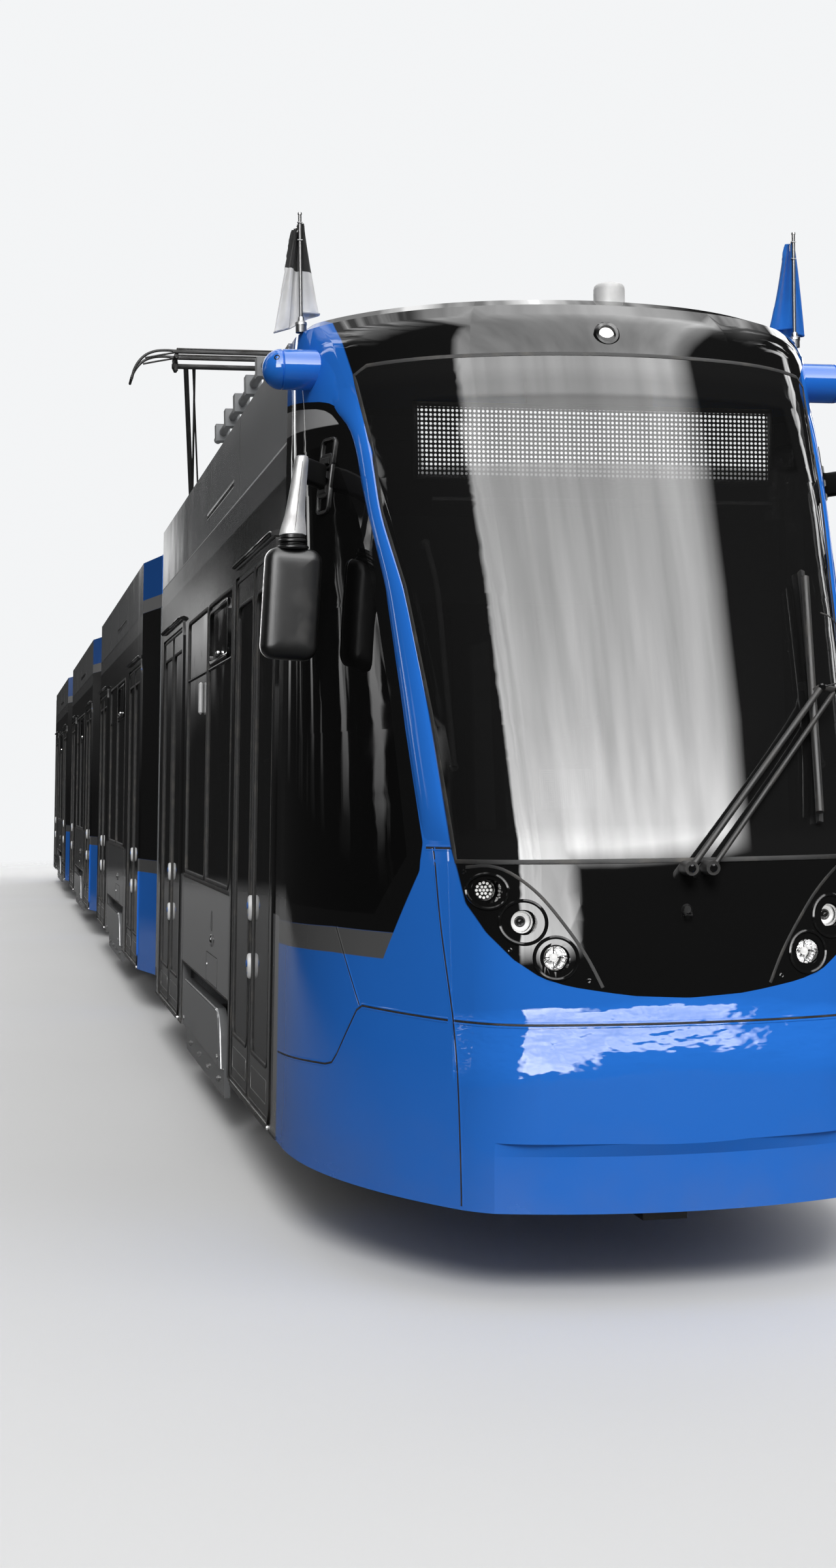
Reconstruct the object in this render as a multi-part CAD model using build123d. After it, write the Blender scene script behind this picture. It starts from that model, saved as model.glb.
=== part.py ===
import math
import os

from build123d import *

os.makedirs("parts", exist_ok=True)

# Driving sizes, millimetres. Z is up from the flange tips, the nose faces -Y.
VEHICLE_LENGTH = 36850
JOINT_PITCH = 8886
GAP = 750
FLANGE = 25
TREAD_R = 300
WHEELBASE = 1800
GAUGE = 1435

# Body outline
SILL_Z = 305
SILL_HALF = 1150
EAVE_Z = 3155
SHROUD_Z = 3564
SHROUD_HALF = 1060
WALL = 55
TAPER = 600
TAPER_IN = 100
CAB_BACK = 16520

# Floor and roof
FLOOR_T = 70
AISLE_Z = 480
AISLE_T = 40
AISLE_HALF = 540
WELL_HALF = 1400
WELL_TOP = 800
CUT_HALF = 1325
CUT_TOP = 690
ROOF_LOW = 2860
ROOF_T = 100

# Openings in the walls
BELT_Z = 1245
HEAD_Z = 2750
DOOR_HEAD_Z = 2765
DOOR_W = 1500
LEAF_GAP = 12
GLASS = 8

# Clearances
RUN = 0.4
DISC_GAP = 6

# Running gear
AXLE_R = 65
JOURNAL_R = 55
DISC_BRAKE_R = 180
BACK_TO_BACK = 1360
RIM_W = 135
BEAM_X = 925
BEAM_HALF_W = 45
PIN_R = 50
YAW_Z = 400

# Articulation
DISC_R = 640
DISC_T = 35
EYE_R = 150
EYE_T = 85

AXLE_Z = FLANGE + TREAD_R
HALF_GAP = GAP / 2
HALF_BASE = WHEELBASE / 2
HALF_LENGTH = VEHICLE_LENGTH / 2
FLOOR_Z = SILL_Z + FLOOR_T
ROOF_TOP = ROOF_LOW + ROOF_T
LEAN = (SILL_HALF - SHROUD_HALF) / (SHROUD_Z - SILL_Z)


def side_x(z):
    return SILL_HALF - (z - SILL_Z) * LEAN


def block(x0, x1, y0, y1, z0, z1):
    box = Box(x1 - x0, y1 - y0, z1 - z0)
    return Pos((x0 + x1) / 2, (y0 + y1) / 2, (z0 + z1) / 2) * box


def both_sides(solid):
    return solid + mirror(solid, about=Plane.YZ)


def section_face(points, y):
    plane = Plane(origin=(0, y, 0), x_dir=(1, 0, 0), z_dir=(0, -1, 0))
    return plane * make_face(Polyline(*points, close=True))


def along_y(points, y0, y1):
    return extrude(section_face(points, y1), amount=y1 - y0)


def along_x(points, x0, x1):
    plane = Plane(origin=(x0, 0, 0), x_dir=(0, 1, 0), z_dir=(1, 0, 0))
    return extrude(plane * make_face(Polyline(*points, close=True)), amount=x1 - x0)


def along_z(points, z0, z1):
    face = make_face(Polyline(*points, close=True))
    return extrude(Plane.XY.offset(z0) * face, amount=z1 - z0)


def upright(radius, z0, z1, x=0, y=0):
    return Pos(x, y, (z0 + z1) / 2) * Cylinder(radius, z1 - z0)


def cross_bar(radius, x0, x1, y, z):
    return Pos((x0 + x1) / 2, y, z) * (Rot(0, 90, 0) * Cylinder(radius, x1 - x0))


def lengthwise(radius, y0, y1, x, z):
    return Pos(x, (y0 + y1) / 2, z) * (Rot(90, 0, 0) * Cylinder(radius, y1 - y0))


def rod(start, end, radius):
    path = Vector(*end) - Vector(*start)
    plane = Plane(origin=start, z_dir=path)
    return extrude(plane * Circle(radius), amount=path.length)


def ring_x(outer, inner, x0, x1, y, z):
    body = cross_bar(outer, x0, x1, y, z)
    return body - cross_bar(inner, x0 - 1, x1 + 1, y, z)


def taper_rod(start, end, radius0, radius1):
    path = Vector(*end) - Vector(*start)
    plane = Plane(origin=start, z_dir=path)
    return loft([plane * Circle(radius0), plane.offset(path.length) * Circle(radius1)], ruled=True)


def rounded_block(x0, x1, y0, y1, z0, z1, radius):
    box = block(x0, x1, y0, y1, z0, z1)
    return fillet(box.edges().filter_by(Axis.X), radius)


def shifted(points, shift):
    return [(x + math.copysign(shift, -x) if x else x, z) for x, z in points]


def tapered(points, y0, y1, shift0, shift1):
    first = section_face(shifted(points, shift0), y0)
    last = section_face(shifted(points, shift1), y1)
    return loft([first, last], ruled=True)


# Wall, roof and floor outlines across the body
def wall_points(z0, z1):
    return [
        (side_x(z0) - WALL, z0),
        (side_x(z0), z0),
        (side_x(z1), z1),
        (side_x(z1) - WALL, z1),
    ]


def floor_points(z0, z1):
    half0 = side_x(z0) - WALL
    half1 = side_x(z1) - WALL
    return [(-half0, z0), (half0, z0), (half1, z1), (-half1, z1)]


def roof_points():
    inner = 60
    right = [
        (side_x(ROOF_LOW) - WALL, ROOF_LOW),
        (side_x(EAVE_Z) - WALL, EAVE_Z),
        (side_x(EAVE_Z), EAVE_Z),
        (side_x(SHROUD_Z), SHROUD_Z),
        (side_x(SHROUD_Z) - inner, SHROUD_Z),
        (side_x(EAVE_Z) - WALL - inner, EAVE_Z - 60),
        (side_x(ROOF_TOP) - WALL - inner, ROOF_TOP),
    ]
    left = [(-x, z) for x, z in reversed(right)]
    return right + left


# End portal with the gangway opening
PORTAL_T = 60
GANGWAY_HALF = 650
GANGWAY_TOP = 2500


def portal(y0, y1):
    xi = side_x(ROOF_LOW) - WALL - TAPER_IN
    right = [
        (side_x(SILL_Z) - TAPER_IN, SILL_Z),
        (side_x(EAVE_Z) - TAPER_IN, EAVE_Z),
        (side_x(EAVE_Z) - WALL - TAPER_IN, EAVE_Z),
        (xi, ROOF_LOW),
    ]
    outline = right + [(-x, z) for x, z in reversed(right)]
    plate = along_y(outline, y0, y1)
    return plate - block(-GANGWAY_HALF, GANGWAY_HALF, y0 - 1, y1 + 1, FLOOR_Z, GANGWAY_TOP)


# Sections: name, first y, last y, bogie y, door centres, open ends (-1 front, 1 back)
SECTIONS = [
    ("a", -CAB_BACK, -JOINT_PITCH - HALF_GAP, -1.5 * JOINT_PITCH, (-15520, -10980), (1,)),
    ("b", -JOINT_PITCH + HALF_GAP, -HALF_GAP, -0.5 * JOINT_PITCH, (-7040, -1840), (-1, 1)),
    ("c", HALF_GAP, JOINT_PITCH - HALF_GAP, 0.5 * JOINT_PITCH, (1840, 7040), (-1, 1)),
    ("d", JOINT_PITCH + HALF_GAP, CAB_BACK, 1.5 * JOINT_PITCH, (10980, 15520), (-1,)),
]


def straight_range(y0, y1, ends):
    start = y0 + TAPER + PORTAL_T if -1 in ends else y0
    stop = y1 - TAPER - PORTAL_T if 1 in ends else y1
    return start, stop


def body_run(points, y0, y1, ends):
    start, stop = straight_range(y0, y1, ends)
    run = along_y(points, start, stop)
    if -1 in ends:
        run += tapered(points, y0 + PORTAL_T, start, TAPER_IN, 0)
    if 1 in ends:
        run += tapered(points, stop, y1 - PORTAL_T, 0, TAPER_IN)
    return run


def joint_y(y_end, end):
    return y_end + end * HALF_GAP


# Jacking pads under the floor
PAD_X = 900
PAD_Y = 1700
PAD_LOW = 275


# Underframe: floor, wheel wells, gangway portals, centre pin and articulation eyes
def underframe(y0, y1, bogie_y, ends):
    well0 = bogie_y - WELL_HALF
    well1 = bogie_y + WELL_HALF
    floor = body_run(floor_points(SILL_Z, FLOOR_Z), y0, y1, ends)
    floor -= block(-1200, 1200, well0, well1, SILL_Z - 1, FLOOR_Z + 1)
    floor += block(-AISLE_HALF, AISLE_HALF, well0, well1, AISLE_Z - AISLE_T, AISLE_Z)
    for y_a, y_b in ((well0, well0 + 20), (well1 - 20, well1)):
        floor += along_y(floor_points(SILL_Z, WELL_TOP), y_a, y_b) - block(
            -AISLE_HALF, AISLE_HALF, y_a - 1, y_b + 1, AISLE_Z, WELL_TOP + 1
        )
    inner_wall = block(AISLE_HALF, AISLE_HALF + 20, well0, well1, AISLE_Z - AISLE_T, WELL_TOP)
    lid = along_y(
        [
            (AISLE_HALF, WELL_TOP - 20),
            (side_x(WELL_TOP - 20) - WALL, WELL_TOP - 20),
            (side_x(WELL_TOP) - WALL, WELL_TOP),
            (AISLE_HALF, WELL_TOP),
        ],
        well0,
        well1,
    )
    floor += both_sides(inner_wall + lid)
    ramp = 500
    for edge, way in ((well0, -1), (well1, 1)):
        wedge = [(edge, FLOOR_Z), (edge + way * ramp, FLOOR_Z), (edge, AISLE_Z)]
        floor += along_x(wedge, -AISLE_HALF, AISLE_HALF)
    floor += upright(PIN_R, YAW_Z - 130, AISLE_Z - AISLE_T, 0, bogie_y)
    for x in (-PAD_X, PAD_X):
        for y in (bogie_y - PAD_Y, bogie_y + PAD_Y):
            floor += block(x - 110, x + 110, y - 110, y + 110, PAD_LOW, SILL_Z)
    for end in ends:
        y_end = y0 if end < 0 else y1
        lo, hi = (y_end, y_end + PORTAL_T) if end < 0 else (y_end - PORTAL_T, y_end)
        floor += portal(lo, hi)
        centre = joint_y(y_end, end)
        floor -= upright(DISC_R + DISC_GAP, SILL_Z - 1, FLOOR_Z + 1, 0, centre)
        if end > 0:
            floor += lower_eye(centre)
        else:
            floor += upper_eye(centre)
    return floor


def lower_eye(centre):
    reach = DISC_R + 420
    top = SILL_Z - 20
    arm = block(-EYE_R, EYE_R, centre - reach, centre, top - EYE_T, top)
    foot = block(-EYE_R, EYE_R, centre - reach, centre - DISC_R - 60, top, SILL_Z)
    eye = arm + upright(EYE_R, top - EYE_T, top, 0, centre) + foot
    return eye - upright(PIN_R + RUN, top - EYE_T - 1, top + 1, 0, centre)


def upper_eye(centre):
    disc_low = FLOOR_Z - DISC_T
    low = SILL_Z - 10
    disc = upright(DISC_R, disc_low, FLOOR_Z, 0, centre)
    arm = block(-EYE_R, EYE_R, centre, centre + DISC_R + 200, low, disc_low)
    pin = upright(PIN_R, SILL_Z - 20 - EYE_T - 30, disc_low, 0, centre)
    cap = upright(PIN_R + 30, SILL_Z - 20 - EYE_T - 30, SILL_Z - 20 - EYE_T - 10, 0, centre)
    return disc + arm + upright(EYE_R, low, disc_low, 0, centre) + pin + cap


# Side walls with windows and doors cut
WINDOW_INSET = 60


def window_spans(y0, y1, bogie_y, doors, ends, side):
    start, stop = straight_range(y0, y1, ends)
    mid = [
        (bogie_y - 1230, bogie_y - 30),
        (bogie_y + 30, bogie_y + 1230),
    ]
    if side < 0:
        return mid
    spans = list(mid)
    for centre in doors:
        way = 1 if centre > bogie_y else -1
        near = bogie_y + way * 1310
        far = centre + way * 760
        lo, hi = min(near, far), max(near, far)
        spans.append((lo, (lo + hi) / 2 - 30))
        spans.append(((lo + hi) / 2 + 30, hi))
    return spans


def side_walls(y0, y1, bogie_y, doors, ends):
    wall = body_run(wall_points(SILL_Z, EAVE_Z), y0, y1, ends)
    left = wall - block(900, 1300, bogie_y - CUT_HALF, bogie_y + CUT_HALF, SILL_Z - 1, CUT_TOP)
    right = mirror(left, about=Plane.YZ)
    for lo, hi in window_spans(y0, y1, bogie_y, doors, ends, 1):
        left -= block(900, 1300, lo, hi, BELT_Z, HEAD_Z)
    for lo, hi in window_spans(y0, y1, bogie_y, doors, ends, -1):
        right -= block(-1300, -900, lo, hi, BELT_Z, HEAD_Z)
    for centre in doors:
        half = DOOR_W / 2
        right += door_surround(centre)
        right -= block(-1300, -900, centre - half, centre + half, SILL_Z + 20, DOOR_HEAD_Z)
    return left + right


# Raised frame around a doorway, with a gutter over it
FRAME_W = 62
FRAME_PROUD = 9
FRAME_R = 140
GUTTER_PROUD = 26


def door_surround(centre):
    half = DOOR_W / 2 + FRAME_W
    z0, z1 = SILL_Z, DOOR_HEAD_Z + FRAME_W
    outline = [(centre - half, z0), (centre + half, z0), (centre + half, z1), (centre - half, z1)]
    ring = along_x(outline, -1300, -900)
    ring = fillet(ring.edges().filter_by(Axis.X), FRAME_R)
    slab = [(-x, z) for x, z in wall_points(z0 - 5, z1 + 5)]
    slab[1] = (slab[1][0] - FRAME_PROUD, slab[1][1])
    slab[2] = (slab[2][0] - FRAME_PROUD, slab[2][1])
    frame = ring & along_y(slab, centre - half, centre + half)
    x = -side_x(z1)
    gutter = [(x + 10, z1 - 20), (x - GUTTER_PROUD, z1 - 16), (x - GUTTER_PROUD, z1 - 2), (x + 10, z1 + 10)]
    return frame + along_y(gutter, centre - half + FRAME_R / 2, centre + half - FRAME_R / 2)


def pane_points(z0, z1, side):
    out = 6
    return [
        (side * (side_x(z0) - out), z0),
        (side * (side_x(z1) - out), z1),
        (side * (side_x(z1) - out - GLASS), z1),
        (side * (side_x(z0) - out - GLASS), z0),
    ]


def glazing(y0, y1, bogie_y, doors, ends):
    panes = []
    for side in (1, -1):
        for lo, hi in window_spans(y0, y1, bogie_y, doors, ends, side):
            panes.append(along_y(pane_points(BELT_Z, HEAD_Z, side), lo, hi))
    for centre in doors:
        for lo, hi in leaf_spans(centre):
            sheet = along_y(pane_points(LEAF_GLASS_Z, LEAF_GLASS_TOP, -1), lo + LEAF_RIM, hi - LEAF_RIM)
            panes.append(sheet & leaf_light(lo, hi))
    return Compound(children=panes)


# Door leaves
LEAF_GLASS_Z = 560
LEAF_GLASS_TOP = 2620
LEAF_T = 40
LEAF_RIM = 70
LEAF_R = 60


def leaf_spans(centre):
    half = DOOR_W / 2
    return (
        (centre - half, centre - LEAF_GAP / 2),
        (centre + LEAF_GAP / 2, centre + half),
    )


def leaf_light(lo, hi):
    return rounded_block(-1300, -900, lo + LEAF_RIM, hi - LEAF_RIM, LEAF_GLASS_Z, LEAF_GLASS_TOP, LEAF_R)


def door_leaves(doors):
    leaves = []
    z0, z1 = SILL_Z + 20, DOOR_HEAD_Z
    outline = [
        (-side_x(z0), z0),
        (-side_x(z1), z1),
        (-side_x(z1) + LEAF_T, z1),
        (-side_x(z0) + LEAF_T, z0),
    ]
    for centre in doors:
        for lo, hi in leaf_spans(centre):
            leaves.append(along_y(outline, lo, hi) - leaf_light(lo, hi))
    return Compound(children=leaves)


# Interior: seats on the wheel wells and beside the doors, grab poles
SEAT_W = 440
SEAT_D = 430
SEAT_H = 92
SEAT_TALL = 650
SEAT_T = 48
SEAT_SLOPE = 14
HEAD_REST_R = 80
RAIL_HIGH = 2050
POLE_X = 620


# Moulded seat: a side profile with a rolled front edge and a curved back, rounded at the shoulders
def seat(x, y, base_z, way):
    front, back = -SEAT_D / 2, SEAT_D / 2
    heel, crown = back - SEAT_T, SEAT_TALL - SEAT_T / 2
    pan_end = heel - 60
    edges = [
        Line((front + 20, 0), (heel, 0)),
        ThreePointArc((heel, 0), (back - 25, 24), (back - 15, SEAT_H)),
        Line((back - 15, SEAT_H), (back, crown)),
        ThreePointArc((back, crown), (back - SEAT_T / 2, SEAT_TALL), (back - SEAT_T, crown)),
        Line((back - SEAT_T, crown), (heel - 15, SEAT_H + 60)),
        ThreePointArc((heel - 15, SEAT_H + 60), (heel - 30, SEAT_H + 6), (pan_end - 15, SEAT_H - SEAT_SLOPE)),
        Line((pan_end - 15, SEAT_H - SEAT_SLOPE), (front + 45, SEAT_H)),
        ThreePointArc((front + 45, SEAT_H), (front, SEAT_H / 2), (front + 20, 0)),
    ]
    side = Plane(origin=(0, 0, 0), x_dir=(0, way, 0), z_dir=(way, 0, 0)) * make_face(edges)
    shell = extrude(side, amount=SEAT_W / 2, both=True)
    shoulders = block(-SEAT_W / 2, SEAT_W / 2, -SEAT_D, SEAT_D, -1, SEAT_TALL + 1)
    tops = shoulders.edges().filter_by(Axis.Y).sort_by(Axis.Z)[-2:]
    return Pos(x, y, base_z) * (shell & fillet(tops, HEAD_REST_R))


def interior(bogie_y, doors):
    parts = []
    for side in (-1, 1):
        x = side * 790
        for offset, way in ((-1100, -1), (-400, 1), (400, -1), (1100, 1)):
            parts.append(seat(x, bogie_y + offset, WELL_TOP, way))
    for centre in doors:
        way = 1 if centre > bogie_y else -1
        x = 815
        y = centre + way * 200
        stand = block(x - 150, x + 150, y - 150, y + 150, FLOOR_Z, FLOOR_Z + 380)
        parts.append(stand + seat(x, y, FLOOR_Z + 380, way))
        near, far = sorted((centre - way * 700, centre + way * 450))
        rail = lengthwise(16, near, far, POLE_X, RAIL_HIGH)
        for y_hanger in (centre, centre + way * 450):
            rail += upright(12, RAIL_HIGH, ROOF_LOW, POLE_X, y_hanger)
        parts.append(rail + upright(18, FLOOR_Z, ROOF_LOW, POLE_X, centre - way * 700))
        parts.append(upright(18, FLOOR_Z, ROOF_LOW, -POLE_X, centre - way * 700))
    return Compound(children=parts)


# Roof trough with its equipment
def roof(y0, y1, ends):
    return body_run(roof_points(), y0, y1, ends) + roof_ends(y0, y1, ends)


def roof_ends(y0, y1, ends):
    parts = Part()
    for end in ends:
        y_end = y0 if end < 0 else y1
        lo, hi = (y_end, y_end + PORTAL_T) if end < 0 else (y_end - PORTAL_T, y_end)
        parts += along_y(shifted(roof_points(), TAPER_IN), lo, hi)
    return parts


# Roof boxes: section, x half width, y from bogie centre, length, height above the roof
ROOF_BOXES = [
    ("a", 780, -1500, 1700, 430),
    ("a", 700, 700, 1500, 380),
    ("a", 760, 2500, 1100, 330),
    ("b", 780, 2500, 1500, 430),
    ("c", 780, -1900, 1700, 430),
    ("c", 700, 200, 1500, 380),
    ("c", 780, 2200, 1500, 430),
    ("d", 780, -2300, 1500, 330),
    ("d", 700, -200, 1700, 430),
    ("d", 760, 1900, 1300, 380),
]


# Roof box: bevelled case, louvres along both sides, overhanging lid with three stiffening ribs
BOX_BEVEL = 40
LID_T = 24
LID_OVER = 12
LOUVRE_PITCH = 45
LOUVRE_GAP = 18
LOUVRE_DEPTH = 16


def roof_box(half, y, length, height):
    y0, y1, top = y - length / 2, y + length / 2, ROOF_TOP + height
    case = along_y([(-half, ROOF_TOP), (half, ROOF_TOP), (half, top - LID_T), (-half, top - LID_T)], y0, y1)
    slots = int((height - 190) / LOUVRE_PITCH) + 1
    for index in range(slots):
        z = ROOF_TOP + 90 + index * LOUVRE_PITCH
        slot = block(half - LOUVRE_DEPTH, half + 1, y0 + 140, y1 - 140, z, z + LOUVRE_GAP)
        case -= both_sides(slot)
    rim = half + LID_OVER
    lid_outline = [
        (-rim, top - LID_T),
        (rim, top - LID_T),
        (rim, top - 10),
        (rim - BOX_BEVEL, top),
        (-rim + BOX_BEVEL, top),
        (-rim, top - 10),
    ]
    case += along_y(lid_outline, y0 - LID_OVER, y1 + LID_OVER)
    for x in (-0.6 * half, 0, 0.6 * half):
        rib = along_y([(x - 50, top), (x + 50, top), (x + 38, top + 12), (x - 38, top + 12)], y0 + 80, y1 - 80)
        case += rib
    return case


# Black rail on clamps along the right roof edge, y of each clamp
RAIL_X = -960
RAIL_Z = 3775
CLAMPS = (-14930, -14460, -13950, -13490, -12990)


def cable_rail():
    parts = lengthwise(22, CLAMPS[0] - 160, CLAMPS[-1] + 260, RAIL_X, RAIL_Z)
    for y in CLAMPS:
        parts += block(RAIL_X - 40, RAIL_X + 40, y - 45, y + 45, RAIL_Z - 50, RAIL_Z + 45)
        parts += upright(24, ROOF_TOP, RAIL_Z, RAIL_X + 60, y)
        parts += block(RAIL_X, RAIL_X + 70, y - 20, y + 20, RAIL_Z - 50, RAIL_Z - 10)
    return parts


def roof_units(name, bogie_y):
    parts = []
    for section, half, offset, length, height in ROOF_BOXES:
        if section != name:
            continue
        parts.append(roof_box(half, bogie_y + offset, length, height))
    if name == "a":
        parts.append(cable_rail())
    if name == "b":
        parts.append(pantograph_base())
    return Compound(children=parts)


# Bogies: frame, axle boxes, motor, covers
COVER_X = 1165
COVER_T = 30
COVER_HALF = 1080
COVER_LOW = 182
COVER_STEP = 330
COVER_TOP = 620
COVER_R = 170
COVER_PROUD = 25
COVER_LIP = 14


def bogie(y):
    frame = block(-90, 90, y - HALF_BASE + 200, y + HALF_BASE - 200, 250, YAW_Z)
    frame += block(-BEAM_X, BEAM_X, y - 220, y + 220, 250, YAW_Z)
    frame -= upright(PIN_R + RUN, 249, YAW_Z + 1, 0, y)
    frame += both_sides(side_beam(y))
    for axle in (-HALF_BASE, HALF_BASE):
        frame += both_sides(axle_box(y + axle))
        bore = cross_bar(JOURNAL_R + RUN, 0, BEAM_X + 30, y + axle, AXLE_Z)
        frame -= both_sides(bore)
    cover = rounded_cover(y)
    bracket = block(BEAM_X, COVER_X - COVER_T - COVER_PROUD, y - 60, y + 60, 280, 360)
    frame += both_sides(cover + bracket)
    return frame


# Longitudinal beam: deeper between the axles, drawn up at its tips
BEAM_LOW = 250
BEAM_BELLY = 222
BEAM_TIP = HALF_BASE + 220


def side_beam(y):
    right = [
        (430, BEAM_BELLY),
        (540, BEAM_LOW),
        (BEAM_TIP - 60, BEAM_LOW),
        (BEAM_TIP, BEAM_LOW + 60),
        (BEAM_TIP, YAW_Z),
    ]
    outline = [(y + a, z) for a, z in right] + [(y - a, z) for a, z in reversed(right)]
    return along_x(outline, BEAM_X - BEAM_HALF_W, BEAM_X + BEAM_HALF_W)


# Axle box: rounded housing with a round end cap
BOX_HALF = 130
BOX_LOW = AXLE_Z - 110
BOX_TOP = AXLE_Z + 130
BOX_R = 60
CAP_R = 85
CAP_T = 14


def axle_box(y):
    inner, outer = BEAM_X - 75, BEAM_X + 55
    housing = rounded_block(inner, outer, y - BOX_HALF, y + BOX_HALF, BOX_LOW, BOX_TOP, BOX_R)
    return housing + cross_bar(CAP_R, outer, outer + CAP_T, y, AXLE_Z)


def rounded_cover(y):
    lower = along_x(
        [
            (y - COVER_HALF, COVER_LOW),
            (y + COVER_HALF, COVER_LOW),
            (y + COVER_HALF, COVER_STEP),
            (y - COVER_HALF, COVER_STEP),
        ],
        COVER_X - COVER_T - COVER_PROUD,
        COVER_X - COVER_PROUD,
    )
    upper = along_x(
        [
            (y - COVER_HALF, COVER_STEP),
            (y + COVER_HALF, COVER_STEP),
            (y + COVER_HALF - 50, COVER_TOP),
            (y - COVER_HALF + 50, COVER_TOP),
        ],
        COVER_X - COVER_T - COVER_PROUD,
        COVER_X,
    )
    corners = upper.edges().filter_by(Axis.X).sort_by(Axis.Z)[-2:]
    upper = fillet(corners, COVER_R)
    rim = upper.faces().sort_by(Axis.X)[-1].edges()
    return lower + fillet(rim, COVER_LIP)


def wheelset(y):
    half = BACK_TO_BACK / 2
    profile = [
        (half, 120),
        (half, TREAD_R + FLANGE),
        (half + 22, TREAD_R + FLANGE),
        (half + 34, TREAD_R),
        (half + RIM_W, TREAD_R - 5),
        (half + RIM_W, TREAD_R - 60),
        (half + 72, TREAD_R - 75),
        (half + 56, 120),
    ]
    face = Plane.XZ * make_face(Polyline(*profile, close=True))
    wheel = revolve(face, Axis.X)
    hub = cross_bar(120, half - 20, half + 110, 0, 0)
    journal = cross_bar(JOURNAL_R, half + 50, BEAM_X + 20, 0, 0)
    side = wheel + hub + journal
    axle = cross_bar(AXLE_R, -half, half, 0, 0)
    disc = cross_bar(DISC_BRAKE_R, half + RIM_W + 7, half + RIM_W + 27, 0, 0)
    return Pos(0, y, AXLE_Z) * (axle + both_sides(side + disc))


# Bellows: a pleated ring between two portals
BELLOWS_HALF = 950
BELLOWS_LOW = 395
BELLOWS_TOP = 3060
PLEATS = 9
PLEAT_T = 50
ARCH_R = 160


def bellows_ring(y0, y1, grow):
    outer = BELLOWS_HALF + grow
    inner = GANGWAY_HALF + 200
    ring = block(-outer, outer, y0, y1, BELLOWS_LOW, BELLOWS_TOP + grow)
    hole = block(-inner, inner, y0 - 1, y1 + 1, BELLOWS_LOW - 1, GANGWAY_TOP + 200)
    crown = ring.edges().filter_by(Axis.Y).sort_by(Axis.Z)[-2:]
    return fillet(crown, ARCH_R + grow) - hole


def bellows(centre):
    body = bellows_ring(centre - HALF_GAP, centre + HALF_GAP, -PLEAT_T)
    step = GAP / (2 * PLEATS + 1)
    for index in range(PLEATS):
        y0 = centre - HALF_GAP + (2 * index + 1) * step
        body += bellows_ring(y0, y0 + step, 0)
    return body


# Nose outlines at rising heights. Columns: z, tip y, side inset, front radius,
# front angle, side angle, y where the side turns straight
NOSE = [
    (SILL_Z, 18355, 0, 1900, 15, 57, 16720),
    (480, 18375, 0, 1900, 15, 57, 16720),
    (945, 18425, 0, 1900, 15, 57, 16720),
    (1487, 18385, 0, 1850, 15, 57, 16720),
    (1950, 18230, 0, 1790, 16, 57.5, 16700),
    (2417, 18040, 0, 1700, 17, 58, 16680),
    (2880, 17818, 0, 1610, 18.5, 59, 16660),
    (3348, 17560, 0, 1500, 20, 60, 16640),
    (3470, 17500, 0, 1450, 20, 60, 16640),
    (3560, 17400, 10, 1350, 20, 60, 16640),
    (3606, 17270, 70, 1250, 20, 60, 16640),
]
SHELL = 50


def nose_arcs(row):
    z, tip, squeeze, front_r, front_deg, side_deg, turn = row
    half = side_x(z) - squeeze
    a = math.radians(front_deg)
    b = math.radians(side_deg)
    ax, ay = math.sin(b) - math.sin(a), math.cos(a) - math.cos(b)
    bx, by = 1 - math.sin(b), math.cos(b)
    rx = half - front_r * math.sin(a)
    ry = tip - turn - front_r * (1 - math.cos(a))
    det = ax * by - bx * ay
    corner_r = (rx * by - bx * ry) / det
    side_r = (ax * ry - rx * ay) / det
    return front_r, corner_r, side_r, a, b


def nose_outline(row, inset, back):
    z, tip, squeeze, front_r, front_deg, side_deg, turn = row
    half = side_x(z) - squeeze
    front_r, corner_r, side_r, a, b = nose_arcs(row)
    ax, ay = math.sin(b) - math.sin(a), math.cos(a) - math.cos(b)
    rf, rc, rs = front_r - inset, corner_r - inset, side_r - inset
    y = -(tip - inset)
    p0 = (0, y)
    x1, y1 = rf * math.sin(a), y + rf * (1 - math.cos(a))
    m = (a + b) / 2
    xm, ym = x1 + rc * (math.sin(m) - math.sin(a)), y1 + rc * (math.cos(a) - math.cos(m))
    x2, y2 = x1 + rc * ax, y1 + rc * ay
    n = (b + math.pi / 2) / 2
    xn, yn = x2 + rs * (math.sin(n) - math.sin(b)), y2 + rs * (math.cos(b) - math.cos(n))
    x3, y3 = half - inset, -turn
    edges = [ThreePointArc((-x1, y1), p0, (x1, y1))]
    edges.append(ThreePointArc((x1, y1), (xm, ym), (x2, y2)))
    edges.append(ThreePointArc((x2, y2), (xn, yn), (x3, y3)))
    edges.append(Line((x3, y3), (x3, -back)))
    edges.append(Line((x3, -back), (-x3, -back)))
    edges.append(Line((-x3, -back), (-x3, y3)))
    edges.append(ThreePointArc((-x3, y3), (-xn, yn), (-x2, y2)))
    edges.append(ThreePointArc((-x2, y2), (-xm, ym), (-x1, y1)))
    return Plane.XY.offset(z) * make_face(edges)


def nose_solid(inset, back):
    faces = [nose_outline(row, inset, back) for row in NOSE]
    return loft(faces, ruled=True)


def nose_shell(inset=SHELL):
    outer = nose_solid(0, CAB_BACK)
    inner = nose_solid(inset, CAB_BACK - 100)
    inner -= block(-1300, 1300, -18500, -16000, 3540, 3700)
    inner -= block(-1300, 1300, -18500, -16000, 200, FLOOR_Z)
    return outer, outer - inner + cab_bulkhead() + tow_lug()


# Closing plate above the cab ceiling, and the towing lug under the nose
def cab_bulkhead():
    low, high = ROOF_LOW, 3550
    half0 = side_x(low) - SHELL / 2
    half1 = side_x(high) - SHELL / 2
    points = [(-half0, low), (half0, low), (half1, high), (-half1, high)]
    return along_y(points, -CAB_BACK - 40, -CAB_BACK)


TOW_R = 25
TOW_Y = 18020
TOW_LOW = 235


def tow_lug():
    lug = block(-80, 80, -TOW_Y - 100, -TOW_Y + 100, TOW_LOW, SILL_Z)
    return lug


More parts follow.
